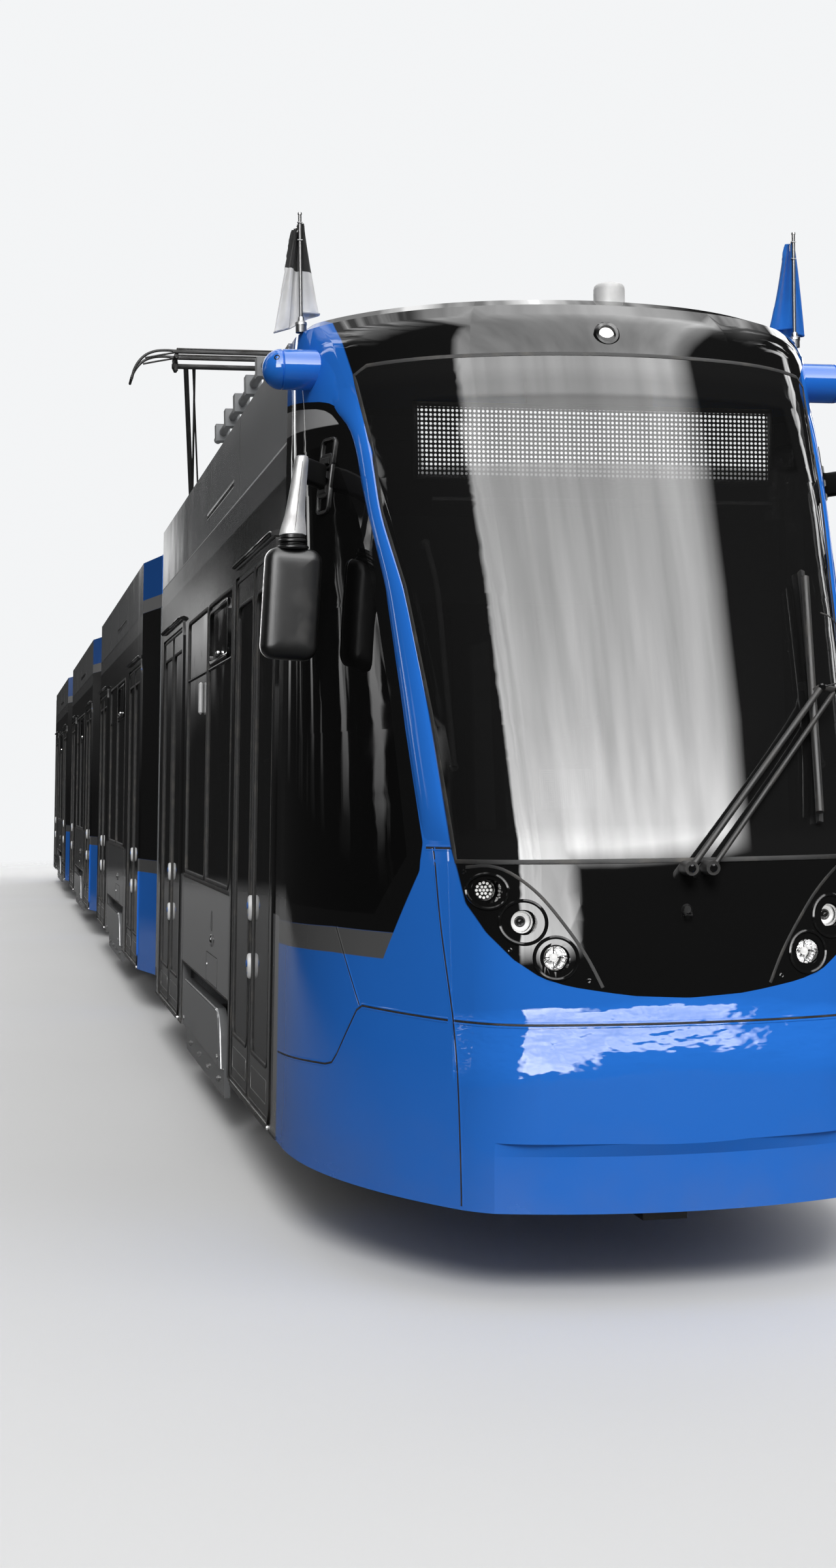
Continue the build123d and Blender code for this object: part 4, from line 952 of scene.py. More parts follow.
def mirror_heads():
    """Mirror each side: rounded head, ribbed collar, tapered arm, bracket and hinge plates; and the camera pods."""
    head, arm, dark, trim = forms(
        "section_a", "black_plastic",
        mirror_heads="black_plastic", mirror_arms="aluminium", camera_pod_eyes="black_gloss", mirror_trims="steel",
    )
    face, = forms("section_a", "side_glass", mirror_glass="chrome")
    pod, = forms("section_a", "nose_paint", camera_pods="blue")
    collar = [(0.0, 2.628)]
    for radius, low, high in COLLAR:
        collar += [(radius - 0.004, low), (radius, low + 0.003), (radius, high - 0.003), (radius - 0.004, high)]
    cover = [(0, -0.20)] + [(POD_R + out, h) for out, h in POD_SIDE] + dome(POD_R, POD_R - 0.006, 90, 12, 0.005)[::-1]
    for side in (-1, 1):
        middle = Vector((side * MIRROR.x, MIRROR.y, MIRROR.z))
        lean = Matrix.Rotation(-side * MIRROR_TILT, 3, "Y")

        def leant(outline, y):
            return [middle + lean @ Vector((u, y, v)) for u, v in outline]

        rows = [
            leant(oblong(0.105 - inset, 0.2075 - inset, max(0.006, 0.048 - inset)), y) for inset, y in HEAD_RINGS
        ]
        head.grid(rows, True)
        head.cap(rows[0])
        face.slab(leant(oblong(0.0912, 0.1937, 0.034), 0.0385), (0, 0.003, 0))
        band = oblong(0.104, 0.2065, 0.047)
        slopes = [lean @ Vector((u / 0.105, 0, v / 0.2075)).normalized() for u, v in band]
        band = lay(list(zip(leant(band, 0.030), slopes)), True)
        trim.sweep(band, [(-0.003, -0.002), (0.003, -0.002), (0.002, 0.0022), (-0.002, 0.0022)], True)
        head.lathe((side * 1.160, MIRROR.y, 0), UP, collar + [(0.0, 2.690)], 32)
        rows = [
            [(side * x + half_x * u, MIRROR.y + half_y * v, z) for u, v in ARM_OUTLINE]
            for z, x, half_x, half_y in ARM_RINGS
        ]
        arm.grid(rows, True)
        arm.cap(rows[-1])
        cable = ((1.1555, 0.0305, 2.70), (1.140, 0.0262, 2.82), (1.122, 0.0225, 2.96))
        dark.tube([(side * x, MIRROR.y - y, z) for x, y, z in cable], 0.0015, 6)
        start, stop = Vector((side * 1.118, MIRROR.y, 2.932)), Vector((side * 1.000, -17.088, 2.932))
        level = (stop - start).normalized().cross(UP)
        bracket = [(start.lerp(stop, t), level * f, UP * f) for t, f in ((0, 0.8), (0.1, 1), (0.8, 1), (1, 1.25))]
        head.sweep(bracket, oblong(0.021, 0.048, 0.014, 4))
        for y0, y1, z0, z1, size in PLATES:
            plate = [on_flank(side, y, z) for y, z in rounded(y0, y1, z0, z1, 0.018, 3)]
            head.sweep(lay(plate, True), strip(size, 0.009), True)
        for z in (2.88, 2.935, 2.99):
            head.sweep(lay([on_flank(side, y, z) for y in (-17.09, -17.12, -17.15)]), strip(0.03, 0.016))
        centre = Vector((side * POD.x, POD.y, POD.z))
        pod.lathe(centre, (side, 0, 0), cover, 48)
        dot = Vector((side * 0.30, -0.84, 0.44)).normalized()
        spot = centre + Vector((side * 0.004, 0, 0)) + dot * (POD_R - 0.0005)
        dark.lathe(spot, dot, POD_EYE, 20)
    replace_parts(close(head, arm, face, pod, dark, trim)[0], "mirrors")


FLAG = Vector((1.04, -16.75, 4.0))
CLOTH_W, CLOTH_H = 0.34, 0.37


def cloth_row(turns, spread, size, count):
    """One level of a gathered cloth: runs between the turning points, rippled by size across their line."""
    path = [p.to_2d() for p in dense([(x * spread, y) for x, y in turns], 0.5, False)]
    lengths = [max(1e-4, (b - a).length) for a, b in zip(path, path[1:])]
    row = []
    for k in range(count + 1):
        i, rest = 0, sum(lengths) * k / count
        while i < len(lengths) - 1 and rest > lengths[i]:
            rest -= lengths[i]
            i += 1
        along = (path[i + 1] - path[i]).normalized()
        across = Vector((-along.y, along.x))
        wave = math.sin(2 * math.pi * 5.0 * k / count) * (0.4 + 0.6 * math.sin(math.pi * k / count))
        row.append(path[i] + along * min(rest, lengths[i]) + across * wave * size)
    for _ in range(3):
        row = softened(row)
    return row


def hanging_cloth(name, side, turns, drops, look):
    """A flag gathered on its staff that opens into a cone towards the hem; each level keeps the cloth's width."""
    staff = Vector((side * FLAG.x, FLAG.y, 0))
    rows, levels, count = [], 40, 90
    for v in (j / levels for j in range(levels + 1)):
        low, high = 0.0, 0.06
        for _ in range(22):
            size = (low + high) / 2
            row = cloth_row(turns, 0.10 + 0.90 * v ** 0.85, size, count)
            length = sum((b - a).length for a, b in zip(row, row[1:]))
            low, high = (size, high) if length < CLOTH_W else (low, size)
        out = []
        for k, p in enumerate(row):
            u = k / count * (len(drops) - 1)
            i = min(int(u), len(drops) - 2)
            drop = drops[i] + (drops[i + 1] - drops[i]) * (u - i)
            out.append(staff + Vector((p.x, p.y, FLAG.z - drop * (0.25 + 0.75 * v) - CLOTH_H * v * 0.965)))
        rows.append(out)
    cloth, hem = (Form(name + tag, look, "section_a", "flag_fabric") for tag in ("", "_hem"))
    cloth.grid(rows)
    cloth = cloth.done(80)
    hem.tube([p + UP * 0.004 for p in rows[-1][::2]], 0.0018, 6)
    hem.tube([row[0] for row in rows[::2]], 0.0022, 6)
    return cloth, hem.done()


LEFT_TURNS = [(0.0, 0.012), (0.082, 0.020), (0.078, 0.034), (-0.104, 0.050), (-0.106, 0.036), (-0.045, 0.030)]
RIGHT_TURNS = [(0.0, 0.012), (-0.108, 0.018), (-0.110, 0.036), (0.058, 0.050), (0.060, 0.036), (0.02, 0.030)]
STAFF_TOP = [(0, -0.004), (0.0085, -0.004), (0.0085, 0.003), (0.006, 0.004), (0, 0.004)]
STAFF_FOOT = [(0.0072, 0.03), (0.024, 0.03), (0.024, 0.040), (0.014, 0.046), (0.012, 0.062), (0.0072, 0.064)]
AERIAL = [
    (0, 3.637), (0.050, 3.637), (0.0625, 3.640), (0.0625, 3.702), (0.0595, 3.714), (0.052, 3.7215), (0.040, 3.725),
    (0, 3.726),
]


def flags():
    pair = flag_fabric("flag_black_over_white", 0.74, 0.010, 3.815 - 1.04 * 0.28)
    plain = flag_fabric("flag_blue", (0.008, 0.13, 0.50))
    one = hanging_cloth("flag_left", -1, LEFT_TURNS, (0.0, 0.0, 0.02, 0.06, 0.08, 0.06), pair)
    two = hanging_cloth("flag_right", 1, RIGHT_TURNS, (0.0, 0.01, 0.03, 0.05, 0.03, 0.02), plain)
    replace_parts(one[0], "flag_cloths")
    tie, = forms("section_a", "flag_fabric", flag_ties="pale_plastic")
    cap, aerial = forms("section_a", "pole_steel", staff_caps="steel", roof_aerial="pale_plastic")
    for side in (-1, 1):
        x, y = side * FLAG.x, FLAG.y
        for z in (4.0, 3.93):
            loop = [(x + 0.0095 * c, y + 0.0095 * s, z + 0.002 * (c * c - s * s)) for c, s in circle(16)]
            tie.tube(loop, 0.002, 6, True)
        cord = ((-0.008, 0.006, 4.0), (-0.006 - side * 0.006, 0.012, 3.985), (-0.010, 0.014, 3.965))
        tie.tube(dense([(x + dx, y + dy, z) for dx, dy, z in cord], 0.006), 0.0018, 6)
        cap.lathe((x, y, 4.036), UP, STAFF_TOP, 20)
        cap.lathe((x, y, 3.56), UP, STAFF_FOOT, 24)
    aerial.lathe((0.150, -17.05, 0), UP, AERIAL, 40)
    close(tie, cap, aerial)


def wiper_parts():
    blade, hose, joint = forms(
        "section_a", "black_plastic", wiper_blade="black", wiper_hose="black", wiper_joints="black_gloss",
    )
    path = [on_nose(0.510 + 0.095 * k / 24, 1.60 + 0.90 * k / 24) for k in range(25)]
    rubber_lip = [(-0.004, 0.001), (0.004, 0.001), (0.009, 0.016), (0.009, 0.026), (-0.009, 0.026), (-0.009, 0.016)]
    blade.sweep(lay(path), rubber_lip)
    hub = on_nose(0.584, 2.075)[0] + AHEAD * 0.082
    pivots = [on_nose(x, 1.462)[0] + AHEAD * 0.072 for x in (0, 0.075)]
    for p in (hub, hub + Vector((0.060, 0.02, -0.010)), *pivots):
        joint.lathe(p, AHEAD, [(0, -0.004), (0.013, -0.004), (0.013, 0.003), (0.008, 0.008), (0, 0.008)], 20)
    loop = [(0.66, -0.004, 2.10), (0.700, 0.03, 2.17), (0.690, 0.05, 2.25), (0.640, 0.045, 2.32), (0.605, 0.06, 2.34)]
    hose.tube(dense([hub] + [(x, hub.y + back, z) for x, back, z in loop], 0.015), 0.0025, 6)
    close(blade, hose, joint)


for way, names in SKIN_NODES.items():
    for node in names:
        smooth_skin(node, SKINS[way])
    dress_nose(way)
headlights()
mirror_heads()
flags()
wiper_parts()


LEAN = 0.09 / 3.259


def wall(side, z, out=0.0):
    """x of the body side at height z."""
    return side * (1.150 - (z - 0.305) * LEAN + out)


def on_wall(side, y, z):
    return Vector((wall(side, z), y, z)), Vector((side, 0, LEAN)).normalized()


def wall_line(form, side, points, profile, step=0.2):
    form.sweep(lay([on_wall(side, y, z) for y, z in straight(points, step)]), profile)


def wall_ring(form, side, y0, y1, z0, z1, r, profile):
    form.sweep(lay([on_wall(side, y, z) for y, z in rounded(y0, y1, z0, z1, r)], True), profile, True)


def panes(key, side):
    """Window spans along a side, front to back."""
    bogie = SECTIONS[key].bogie
    spans = [(bogie - 1.23, bogie - 0.03), (bogie + 0.03, bogie + 1.23)]
    if side > 0:
        for centre in SECTIONS[key].doors:
            way = 1 if centre > bogie else -1
            low, high = sorted((bogie + way * 1.31, centre + way * 0.76))
            middle = (low + high) / 2
            spans += [(low, middle - 0.03), (middle + 0.03, high)]
    return sorted(spans)


LOCK = [(0, -0.002), (0.010, -0.002), (0.010, 0.002), (0.004, 0.002), (0, 0.0005)]
SIDE_LAMP = [(0, -0.003), (0.030, -0.003), (0.034, 0.004), (0.026, 0.010), (0.012, 0.013), (0, 0.014)]


def side_details(key):
    """Window seals and hoppers, the bogie cover's outline, belt, foot and shroud lines, side lamps."""
    section, body = SECTIONS[key], f"section_{key}"
    bogie = section.bogie
    start = section.front + TAPER * (-1 in section.ends)
    stop = section.rear - TAPER * (1 in section.ends)
    seal, trim = forms(body, "black_plastic", f"_{key}", window_seals="black", side_trim="black_gloss")
    bright, = forms(body, "lamp_glass", f"_{key}", side_lamps="chrome")
    for side in (-1, 1):
        for index, (low, high) in enumerate(panes(key, side)):
            wall_ring(seal, side, low, high, 1.245, 2.75, 0.045, strip(0.020, 0.0035, 0.010))
            wall_line(trim, side, [(low + 0.01, 2.40), (high - 0.01, 2.40)], strip(0.012, 0.002, 0.009))
            if index % 2 == 0:
                wall_ring(trim, side, low + 0.19, high - 0.09, 2.425, 2.705, 0.05, strip(0.026, 0.006, 0.009))
                x0, x1 = wall(side, 2.46, -0.004), wall(side, 2.46, 0.012)
                bright.box(x0, x1, low + 0.62, low + 0.72, 2.452, 2.470, 0.003)
        wall_line(seal, side, [(bogie - 1.30, BELT), (bogie + 1.30, BELT)], strip(0.022, 0.003))
        arch = [(bogie - 1.332, 0.32), (bogie - 1.332, 0.697), (bogie + 1.332, 0.697), (bogie + 1.332, 0.32)]
        for a, b in zip(arch, arch[1:]):
            wall_line(seal, side, [a, b], strip(0.012, 0.0035, 0.002))
        for y in (bogie - 1.325, bogie + 1.325):
            wall_line(seal, side, [(y, 0.33), (y, 1.21)], strip(0.006, 0.0006))
        wall_ring(seal, side, bogie - 0.75, bogie - 0.17, 0.705, 0.86, 0.012, strip(0.005, 0.0007))
        bright.lathe(*on_wall(side, bogie - 0.20, 0.79), LOCK, 16)
        bright.lathe(*on_wall(side, bogie - 0.45, 0.934), SIDE_LAMP, 24)
        wall_ring(trim, side, bogie - 0.462, bogie - 0.400, 0.986, 1.089, 0.02, strip(0.007, 0.0012))
        for y in (bogie - 1.45, bogie, bogie + 1.45):
            wall_line(seal, side, [(y, 3.165), (y, 3.555)], strip(0.006, 0.0006), 0.065)
        wall_ring(trim, side, bogie - 1.20, bogie + 0.18, 3.252, 3.286, 0.012, strip(0.006, 0.001))
        wall_line(trim, side, [(bogie - 1.19, 3.269), (bogie + 0.17, 3.269)], strip(0.026, 0.0012))
        wall_line(trim, side, [(start, SHROUD_Z), (stop, SHROUD_Z)], strip(0.007, 0.0008))
        for a, b in ((start, bogie - 1.33), (bogie + 1.33, stop)):
            parts = [(a, b)]
            if side < 0:
                centre = next(door for door in section.doors if a < door < b)
                parts = [(a, centre - 0.815), (centre + 0.815, b)]
            for c, d in parts:
                if d - c > 0.15:
                    wall_line(seal, side, [(c, 0.312), (d, 0.312)], strip(0.016, 0.006, 0.02))
    if key == "a":
        marker, = forms(body, "lamp_glass", side_marker="pale_plastic")
        p0, p1 = (on_wall(-1, -13.0, z)[0] + Vector((-0.006, 0, 0)) for z in (2.34, 2.18))
        marker.tube([p0 + UP * 0.012, p0, p1, p1 - UP * 0.012], [0.003, 0.0135, 0.0135, 0.003], 16).done()
    close(seal, trim, bright)


DOOR_LIP = [(-0.0055, -0.03), (0.0055, -0.03), (0.0055, 0.002), (0.0, 0.0055), (-0.0055, 0.002)]
# Rings of a door button's housing as (height, share of its size), and its two caps
HOUSING = ((-0.002, 1.0), (0.010, 1.0), (0.017, 0.88), (0.019, 0.7))
BIG_CAP = [(0, -0.004), (0.0165, -0.004), (0.0165, 0.003), (0.012, 0.0055), (0, 0.006)]
SMALL_CAP = [(0, -0.004), (0.008, -0.004), (0.008, 0.001), (0, 0.002)]


def door_details(key):
    seal, knob, cap, sill, gutter = forms(
        f"section_{key}", "door_frame", f"_{key}", door_seals="black", door_buttons="pale_plastic",
        door_button_caps="button", door_sills="steel", door_gutters="black_gloss",
    )
    for centre in SECTIONS[key].doors:
        for low, high in ((centre - DOOR_HALF, centre - 0.006), (centre + 0.006, centre + DOOR_HALF)):
            wall_ring(seal, -1, low + 0.012, high - 0.008, 0.345, 2.745, 0.05, strip(0.014, 0.004, 0.004))
            wall_ring(seal, -1, low + 0.068, high - 0.068, 0.558, 2.622, 0.06, strip(0.016, 0.003, 0.008))
            wall_ring(sill, -1, low + 0.10, high - 0.10, 0.40, 0.50, 0.012, strip(0.003, 0.0006))
        for y in (centre - 0.006, centre + 0.006):
            wall_line(seal, -1, [(y, 0.34), (y, 2.75)], DOOR_LIP, 0.3)
        for z in (0.941, 1.203):
            p, n = on_wall(-1, centre - 0.052, z)
            rows = [
                [p + n * height + Vector((0, 0.026 * size * c, 0.058 * size * s)) for c, s in circle(28)]
                for height, size in HOUSING
            ]
            knob.grid(rows, True)
            knob.cap(rows[-1])
            cap.lathe(p + UP * 0.012 + n * 0.018, n, BIG_CAP, 24)
            cap.lathe(p - UP * 0.030 + n * 0.018, n, SMALL_CAP, 16)
        sill.box(-1.158, -1.06, centre - 0.74, centre + 0.74, 0.306, 0.324, 0.003)
        for x in (-1.152 + 0.018 * k for k in range(5)):
            sill.box(x, x + 0.006, centre - 0.73, centre + 0.73, 0.3235, 0.3265, 0.001, 1)
        z = 2.82
        path = [(wall(-1, z, 0.024), centre + along, z) for along in (-0.72, -0.70, 0.70, 0.72)]
        gutter.tube(path, [0.003, 0.011, 0.011, 0.003], 10)
    close(seal, knob, cap, sill, gutter)


SEAT_PATH = [
    (-0.205, 0.020), (-0.208, 0.050), (-0.172, 0.062), (0.02, 0.052), (0.118, 0.048),
    (0.168, 0.085), (0.184, 0.16), (0.193, 0.40), (0.199, 0.58), (0.196, 0.640),
]
SEAT_BOARD = [
    (-0.20, -0.007), (0.20, -0.007), (0.215, 0.002), (0.213, 0.012), (0.198, 0.006), (-0.198, 0.006), (-0.213, 0.012),
    (-0.215, 0.002),
]
SEAT_CROWN = mirrored([(-0.190, 0), (-0.188, 0.014), (-0.165, 0.024), (-0.08, 0.030), (0, 0.027)])
DRIVER_CROWN = mirrored([(-0.19, 0), (-0.19, 0.02), (-0.165, 0.034), (-0.08, 0.028), (0, 0.022)])
GRIP = ((-0.12, 0.212, 0.60), (-0.12, 0.235, 0.655), (0.12, 0.235, 0.655), (0.12, 0.212, 0.60))
GRAB_POLE = [
    (0, 0), (0.04, 0), (0.04, 0.008), (0.018, 0.016), (0.0175, 2.468), (0.035, 2.474), (0.035, 2.482), (0, 2.482),
]
HANGER = [(0, 0), (0.034, 0), (0.034, 0.006), (0.014, 0.012), (0, 0.012)]


def seat_frames(x, y, base, way, low, high, lift):
    path = dense(SEAT_PATH, 0.025)[low:high]
    frames = []
    for i, p in enumerate(path):
        t = (path[min(len(path) - 1, i + 1)] - path[max(0, i - 1)]).normalized()
        n = Vector((0, -t.y * way, t.x))
        frames.append((Vector((x, y + p.x * way, base + p.y)) + n * lift, Vector((1, 0, 0)), n))
    return frames


def swelled(frames):
    """The frames of a cushion, smaller towards both ends."""
    last = len(frames) - 1
    for i, (o, a, n) in enumerate(frames):
        swell = min(1.0, min(i, last - i) / 2.2 + 0.18) ** 0.5
        yield o, a * (0.93 + 0.07 * swell), n * swell


def one_seat(shell, pad, x, y, base, way):
    shell.sweep(seat_frames(x, y, base, way, 0, 99, 0), SEAT_BOARD)
    count = len(dense(SEAT_PATH, 0.025))
    for low, high in ((3, int(count * 0.38)), (int(count * 0.47), count - 3)):
        pad.sweep(swelled(seat_frames(x, y, base, way, low, high, 0.005)), SEAT_CROWN)
    shell.box(x - 0.11, x + 0.11, y - 0.12, y + 0.12, base + 0.0005, base + 0.064, 0.01)
    shell.tube([(x + across, y + way * along, base + up) for across, along, up in GRIP], 0.011, 10)


def interior(key):
    bogie = SECTIONS[key].bogie
    shell, pad, pole = forms(
        f"section_{key}", "seat_plastic", f"_{key}", seat_shells="grey_plastic", seat_pads="seat", grab_poles="steel",
    )
    spots = [
        (side * 0.79, bogie + shift, 0.80, way)
        for side in (-1, 1) for shift, way in ((-1.1, -1), (-0.4, 1), (0.4, -1), (1.1, 1))
    ]
    for centre in SECTIONS[key].doors:
        way = 1 if centre > bogie else -1
        seat_y, pole_y = centre + way * 0.2, centre - way * 0.7
        spots.append((0.815, seat_y, 0.755, way))
        shell.box(0.69, 0.94, seat_y - 0.13, seat_y + 0.13, FLOOR_Z, 0.80, 0.03, 3)
        for x in (-0.62, 0.62):
            pole.lathe((x, pole_y, FLOOR_Z), UP, GRAB_POLE, 20)
            shell.box(x - 0.03, x + 0.03, pole_y - 0.028, pole_y + 0.028, 1.28, 1.40, 0.012, 3)
        rail = [(0.62, y, 2.05) for y in (pole_y, centre, centre + way * 0.45)]
        pole.tube(rail, 0.016, 12)
        for x, y, z in rail[1:]:
            pole.tube([(x, y, z), (x, y, 2.855)], 0.012, 10)
            pole.lathe((x, y, 2.858), -UP, HANGER, 20)
        for shift in (-0.30, 0.02):
            p = Vector((0.62, centre + way * shift, 2.05))
            shell.tube([p + Vector((0, y, 0.016)) for y in (-0.018, 0.018)], 0.021, 12)
            strap = [p + Vector((0.035 * s, 0, -0.105 - 0.055 * c)) for c, s in circle(12)]
            shell.tube(strap, 0.008, 8, True)
            shell.box(p.x - 0.004, p.x + 0.004, p.y - 0.016, p.y + 0.016, 1.995, 2.045, 0.002, 1)
    for spot in spots:
        one_seat(shell, pad, *spot)
    shell, pad, _ = close(shell, pad, pole)
    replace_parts(shell, f"interior_{key}")


# Frame around the destination display as (x, x, z, z)
SIGN_FRAME = (
    (-0.715, 0.695, 3.163, 3.182), (-0.715, 0.695, 2.888, 2.907),
    (-0.715, -0.697, 2.888, 3.182), (0.677, 0.695, 2.888, 3.182),
)
KNOB = [(0, -0.004), (0.011, -0.004), (0.011, 0.008), (0.007, 0.012), (0, 0.012)]
LEVER = [(0, -0.02), (0.012, -0.02), (0.024, -0.004), (0.026, 0.008), (0.018, 0.02), (0, 0.024)]
GRAB_RODS = (
    [(-0.731, -17.690, 2.617), (-0.711, -17.780, 2.445), (-0.708, -17.90, 2.12), (-0.705, -18.010, 1.81)],
    [(0.572, -18.03, 2.086), (0.584, -18.07, 1.95), (0.594, -18.115, 1.807)],
)


def cab_inside():
    """What shows through the windscreen: blank display, sun blind, desk with screens and levers, seat, grab rods."""
    sign, small, dark, grey, bright, pad = forms(
        "section_a", "cab_plastic",
        front_display=dot_display("display_matrix", (0.86, 0.87, 0.88), 0.0336, 2.3),
        desk_display=dot_display("desk_matrix", (0.70, 0.72, 0.74), 0.016, 0.9),
        cab_consoles="black_plastic", cab_trims="grey_plastic", cab_grab_rods="pale_plastic", driver_seat_pads="seat",
    )
    sign.box(-0.70, 0.68, -17.388, -17.3805, 2.905, 3.165, 0.002, 1)
    for x0, x1, z0, z1 in SIGN_FRAME:
        dark.box(x0, x1, -17.395, -17.376, z0, z1, 0.004)
    for x in (-0.42, 0.42):
        dark.box(x - 0.16, x + 0.16, -17.765, -17.735, 1.236, 1.40, 0.012)
        grey.box(x - 0.145, x + 0.145, -17.734, -17.731, 1.252, 1.385, 0.001, 1)
        dark.tube([(x, -17.75, 1.24), (x, -17.76, 1.21), (x, -17.77, 1.18)], 0.02)
    for k in range(12):
        grey.lathe((-0.20 + 0.036 * k, -17.56, 1.2185), (0, 0.11, 0.99), KNOB, 14)
    for x in (-0.50, 0.50):
        dark.tube([(x, -17.52, 1.22), (x, -17.515, 1.28), (x, -17.50, 1.33)], [0.013, 0.011, 0.010])
        dark.lathe((x, -17.498, 1.335), (0, 0.2, 1), LEVER, 18)
    across = [k / 20 for k in range(21)]
    dark.tube([(-0.58 + 1.16 * t, -17.948 - 0.006 * math.sin(math.pi * t), 1.192) for t in across], 0.014)
    front = [(-0.36, -17.86, 1.66), (-0.16, -17.86, 1.66), (-0.16, -17.83, 1.80), (-0.36, -17.83, 1.80)]
    small.slab(front, (0, 0.006, 0))
    back = [(-0.375, -17.852, 1.645), (-0.145, -17.852, 1.645), (-0.145, -17.818, 1.815), (-0.375, -17.818, 1.815)]
    dark.slab(back, (0, 0.03, 0))
    dark.tube([(-0.26, -17.82, 1.66), (-0.26, -17.80, 1.45), (-0.26, -17.82, 1.20)], 0.014)
    dark.tube([(0.66 - 0.055 * k, -17.47 + 0.004 * (-1) ** k, 2.80) for k in range(25)], 0.016, 8)
    for points in GRAB_RODS:
        bright.tube(dense(points, 0.04), 0.0105, 12)
        for p in (Vector(points[0]), Vector(points[-1])):
            bright.tube([p, p - AHEAD * 0.05], 0.016, 12)
    path = dense(SEAT_PATH, 0.02)
    for low, high in ((3, int(len(path) * 0.38)), (int(len(path) * 0.45), len(path) - 2)):
        run = []
        for i in range(low, high):
            t = (path[i + 1] - path[i - 1]).normalized()
            n = Vector((0, -t.y, t.x))
            run.append((Vector((0, -16.99 + path[i].x, 0.80 + path[i].y)) + n * 0.033, Vector((1, 0, 0)), n))
        pad.sweep(swelled(run), DRIVER_CROWN)
    grey.box(-0.13, 0.13, -16.815, -16.765, 1.47, 1.66, 0.022, 3)
    for x in (-0.06, 0.06):
        dark.tube([(x, -16.79, 1.40), (x, -16.79, 1.50)], 0.007, 8)
    for side in (-1, 1):
        dark.box(side * 0.235, side * 0.285, -17.12, -16.84, 1.06, 1.10, 0.014, 3)
        dark.tube([(side * 0.26, -16.85, 1.08), (side * 0.235, -16.82, 1.05), (side * 0.20, -16.81, 1.0)], 0.013, 8)
    close(sign, dark, grey, bright, small, pad)[-1]


def bellows(name, centre):
    """Pleated gangway cover: an arch whose skin waves nine times between its two clamping frames."""
    half, low, top, round_r, depth, pleats = 0.925, 0.395, 3.035, 0.16, 0.025, 9
    arch = [(half, low + 0.001), (half, 1.2), (half, 2.0), (half, top - round_r)]
    arch += [(half - round_r + round_r * c, top - round_r + round_r * s) for c, s in circle(6, 0.25)[1:]]
    arch = straight(arch + [(0.4, top), (0.0, top)], 0.12)
    arch += [(-x, z) for x, z in reversed(arch[:-1])]
    outward = []
    for a, b in zip([arch[0]] + arch, arch[1:] + [arch[-1]]):
        t = Vector((b[0] - a[0], b[1] - a[1])).normalized()
        outward.append(Vector((t.y, -t.x)))

    def hoop(y, out):
        return [(x + n.x * out, y, max(low + 0.0005, z + n.y * out)) for (x, z), n in zip(arch, outward)]

    rows = []
    for t in (k / (pleats * 8) for k in range(pleats * 8 + 1)):
        wave = (0.5 - 0.5 * math.cos(2 * math.pi * pleats * t)) ** 0.6 * 2 - 1
        y = centre - 0.3745 + 0.749 * t
        rows.append(hoop(y, depth * wave * 0.96) + hoop(y, depth * wave * 0.5 - 0.062)[::-1])
    form = Form(f"bellows_skin_{name}", M["fabric"], None, "bellows_fabric")
    form.grid(rows, True)
    for row in (rows[0], rows[-1]):
        for i in range(len(row) // 2 - 1):
            form.cap((row[i], row[i + 1], row[-2 - i], row[-1 - i]))
    cover = form.done(50)
    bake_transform(cover)
    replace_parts(cover, f"bellows_{name}")


# Section, half width, middle from the bogie's, length and height of each roof box
ROOF_BOXES = [
    ("a", 0.78, -1.5, 1.7, 0.43), ("a", 0.70, 0.7, 1.5, 0.38), ("a", 0.76, 2.5, 1.1, 0.33),
    ("b", 0.78, 2.5, 1.5, 0.43),
    ("c", 0.78, -1.9, 1.7, 0.43), ("c", 0.70, 0.2, 1.5, 0.38), ("c", 0.78, 2.2, 1.5, 0.43),
    ("d", 0.78, -2.3, 1.5, 0.33), ("d", 0.70, -0.2, 1.7, 0.43), ("d", 0.76, 1.9, 1.3, 0.38),
]
LID_BOLT = [(0, -0.004), (0.009, -0.004), (0.009, 0.0005), (0.006, 0.001), (0.0055, 0.005), (0, 0.006)]
LATCH = ((0.02, -0.022, 0.040), (0.028, 0, 0.036), (0.02, 0.022, 0.040))


def box_details(fit, vent, half, y, length, height):
    """Slatted sides with a dark strip behind each slot as painted shade, latches, bolts along the lid and lifting
    eyes of one roof box.
    """
    top = 2.96 + height
    y0, y1 = y - length / 2 + 0.141, y + length / 2 - 0.141
    for side in (-1, 1):
        inner, outer = side * (half - 0.001), side * (half + 0.009)
        for z in (3.05 + 0.045 * k for k in range(int((height - 0.19) / 0.045) + 1)):
            # Painted shade: a dark strip at the back of each slot stands for the dark inside of the opening.
            vent.box(side * (half - 0.0155), side * (half - 0.0125), y0, y1, z + 0.0005, z + 0.0175)
            slat = [(inner, y0, z + 0.0145), (outer, y0, z + 0.004), (outer, y1, z + 0.004), (inner, y1, z + 0.0145)]
            vent.slab(slat, (0, 0, 0.0022))
        for a in (y - 0.3 * length, y + 0.3 * length):
            plate = side * (half + 0.010)
            fit.box(side * (half + 0.0002), plate, a - 0.028, a + 0.028, top - 0.092, top - 0.0245, 0.003)
            fit.box(plate, side * (half + 0.026), a - 0.010, a + 0.010, top - 0.078, top - 0.034, 0.004)
            fit.tube([(side * (half + out), a + along, top - down) for out, along, down in LATCH], 0.003, 6)
        bolts = int(length / 0.16)
        for k in range(bolts):
            a = y - length / 2 + 0.07 + (length - 0.14) * k / (bolts - 1)
            fit.lathe((side * (half - 0.016), a, top - 0.0035), (side * 0.24, 0, 0.97), LID_BOLT, 6)
        for k in (-1, 1):
            p = Vector((side * half * 0.82, y + k * (length / 2 - 0.05), top - 0.002))
            fit.tube([p + Vector((0, 0.028 * c, 0.006 + 0.030 * s)) for c, s in circle(8, 0.5)], 0.006, 8)
            fit.box(p.x - 0.016, p.x + 0.016, p.y - 0.04, p.y + 0.04, p.z, p.z + 0.007, 0.002, 1)


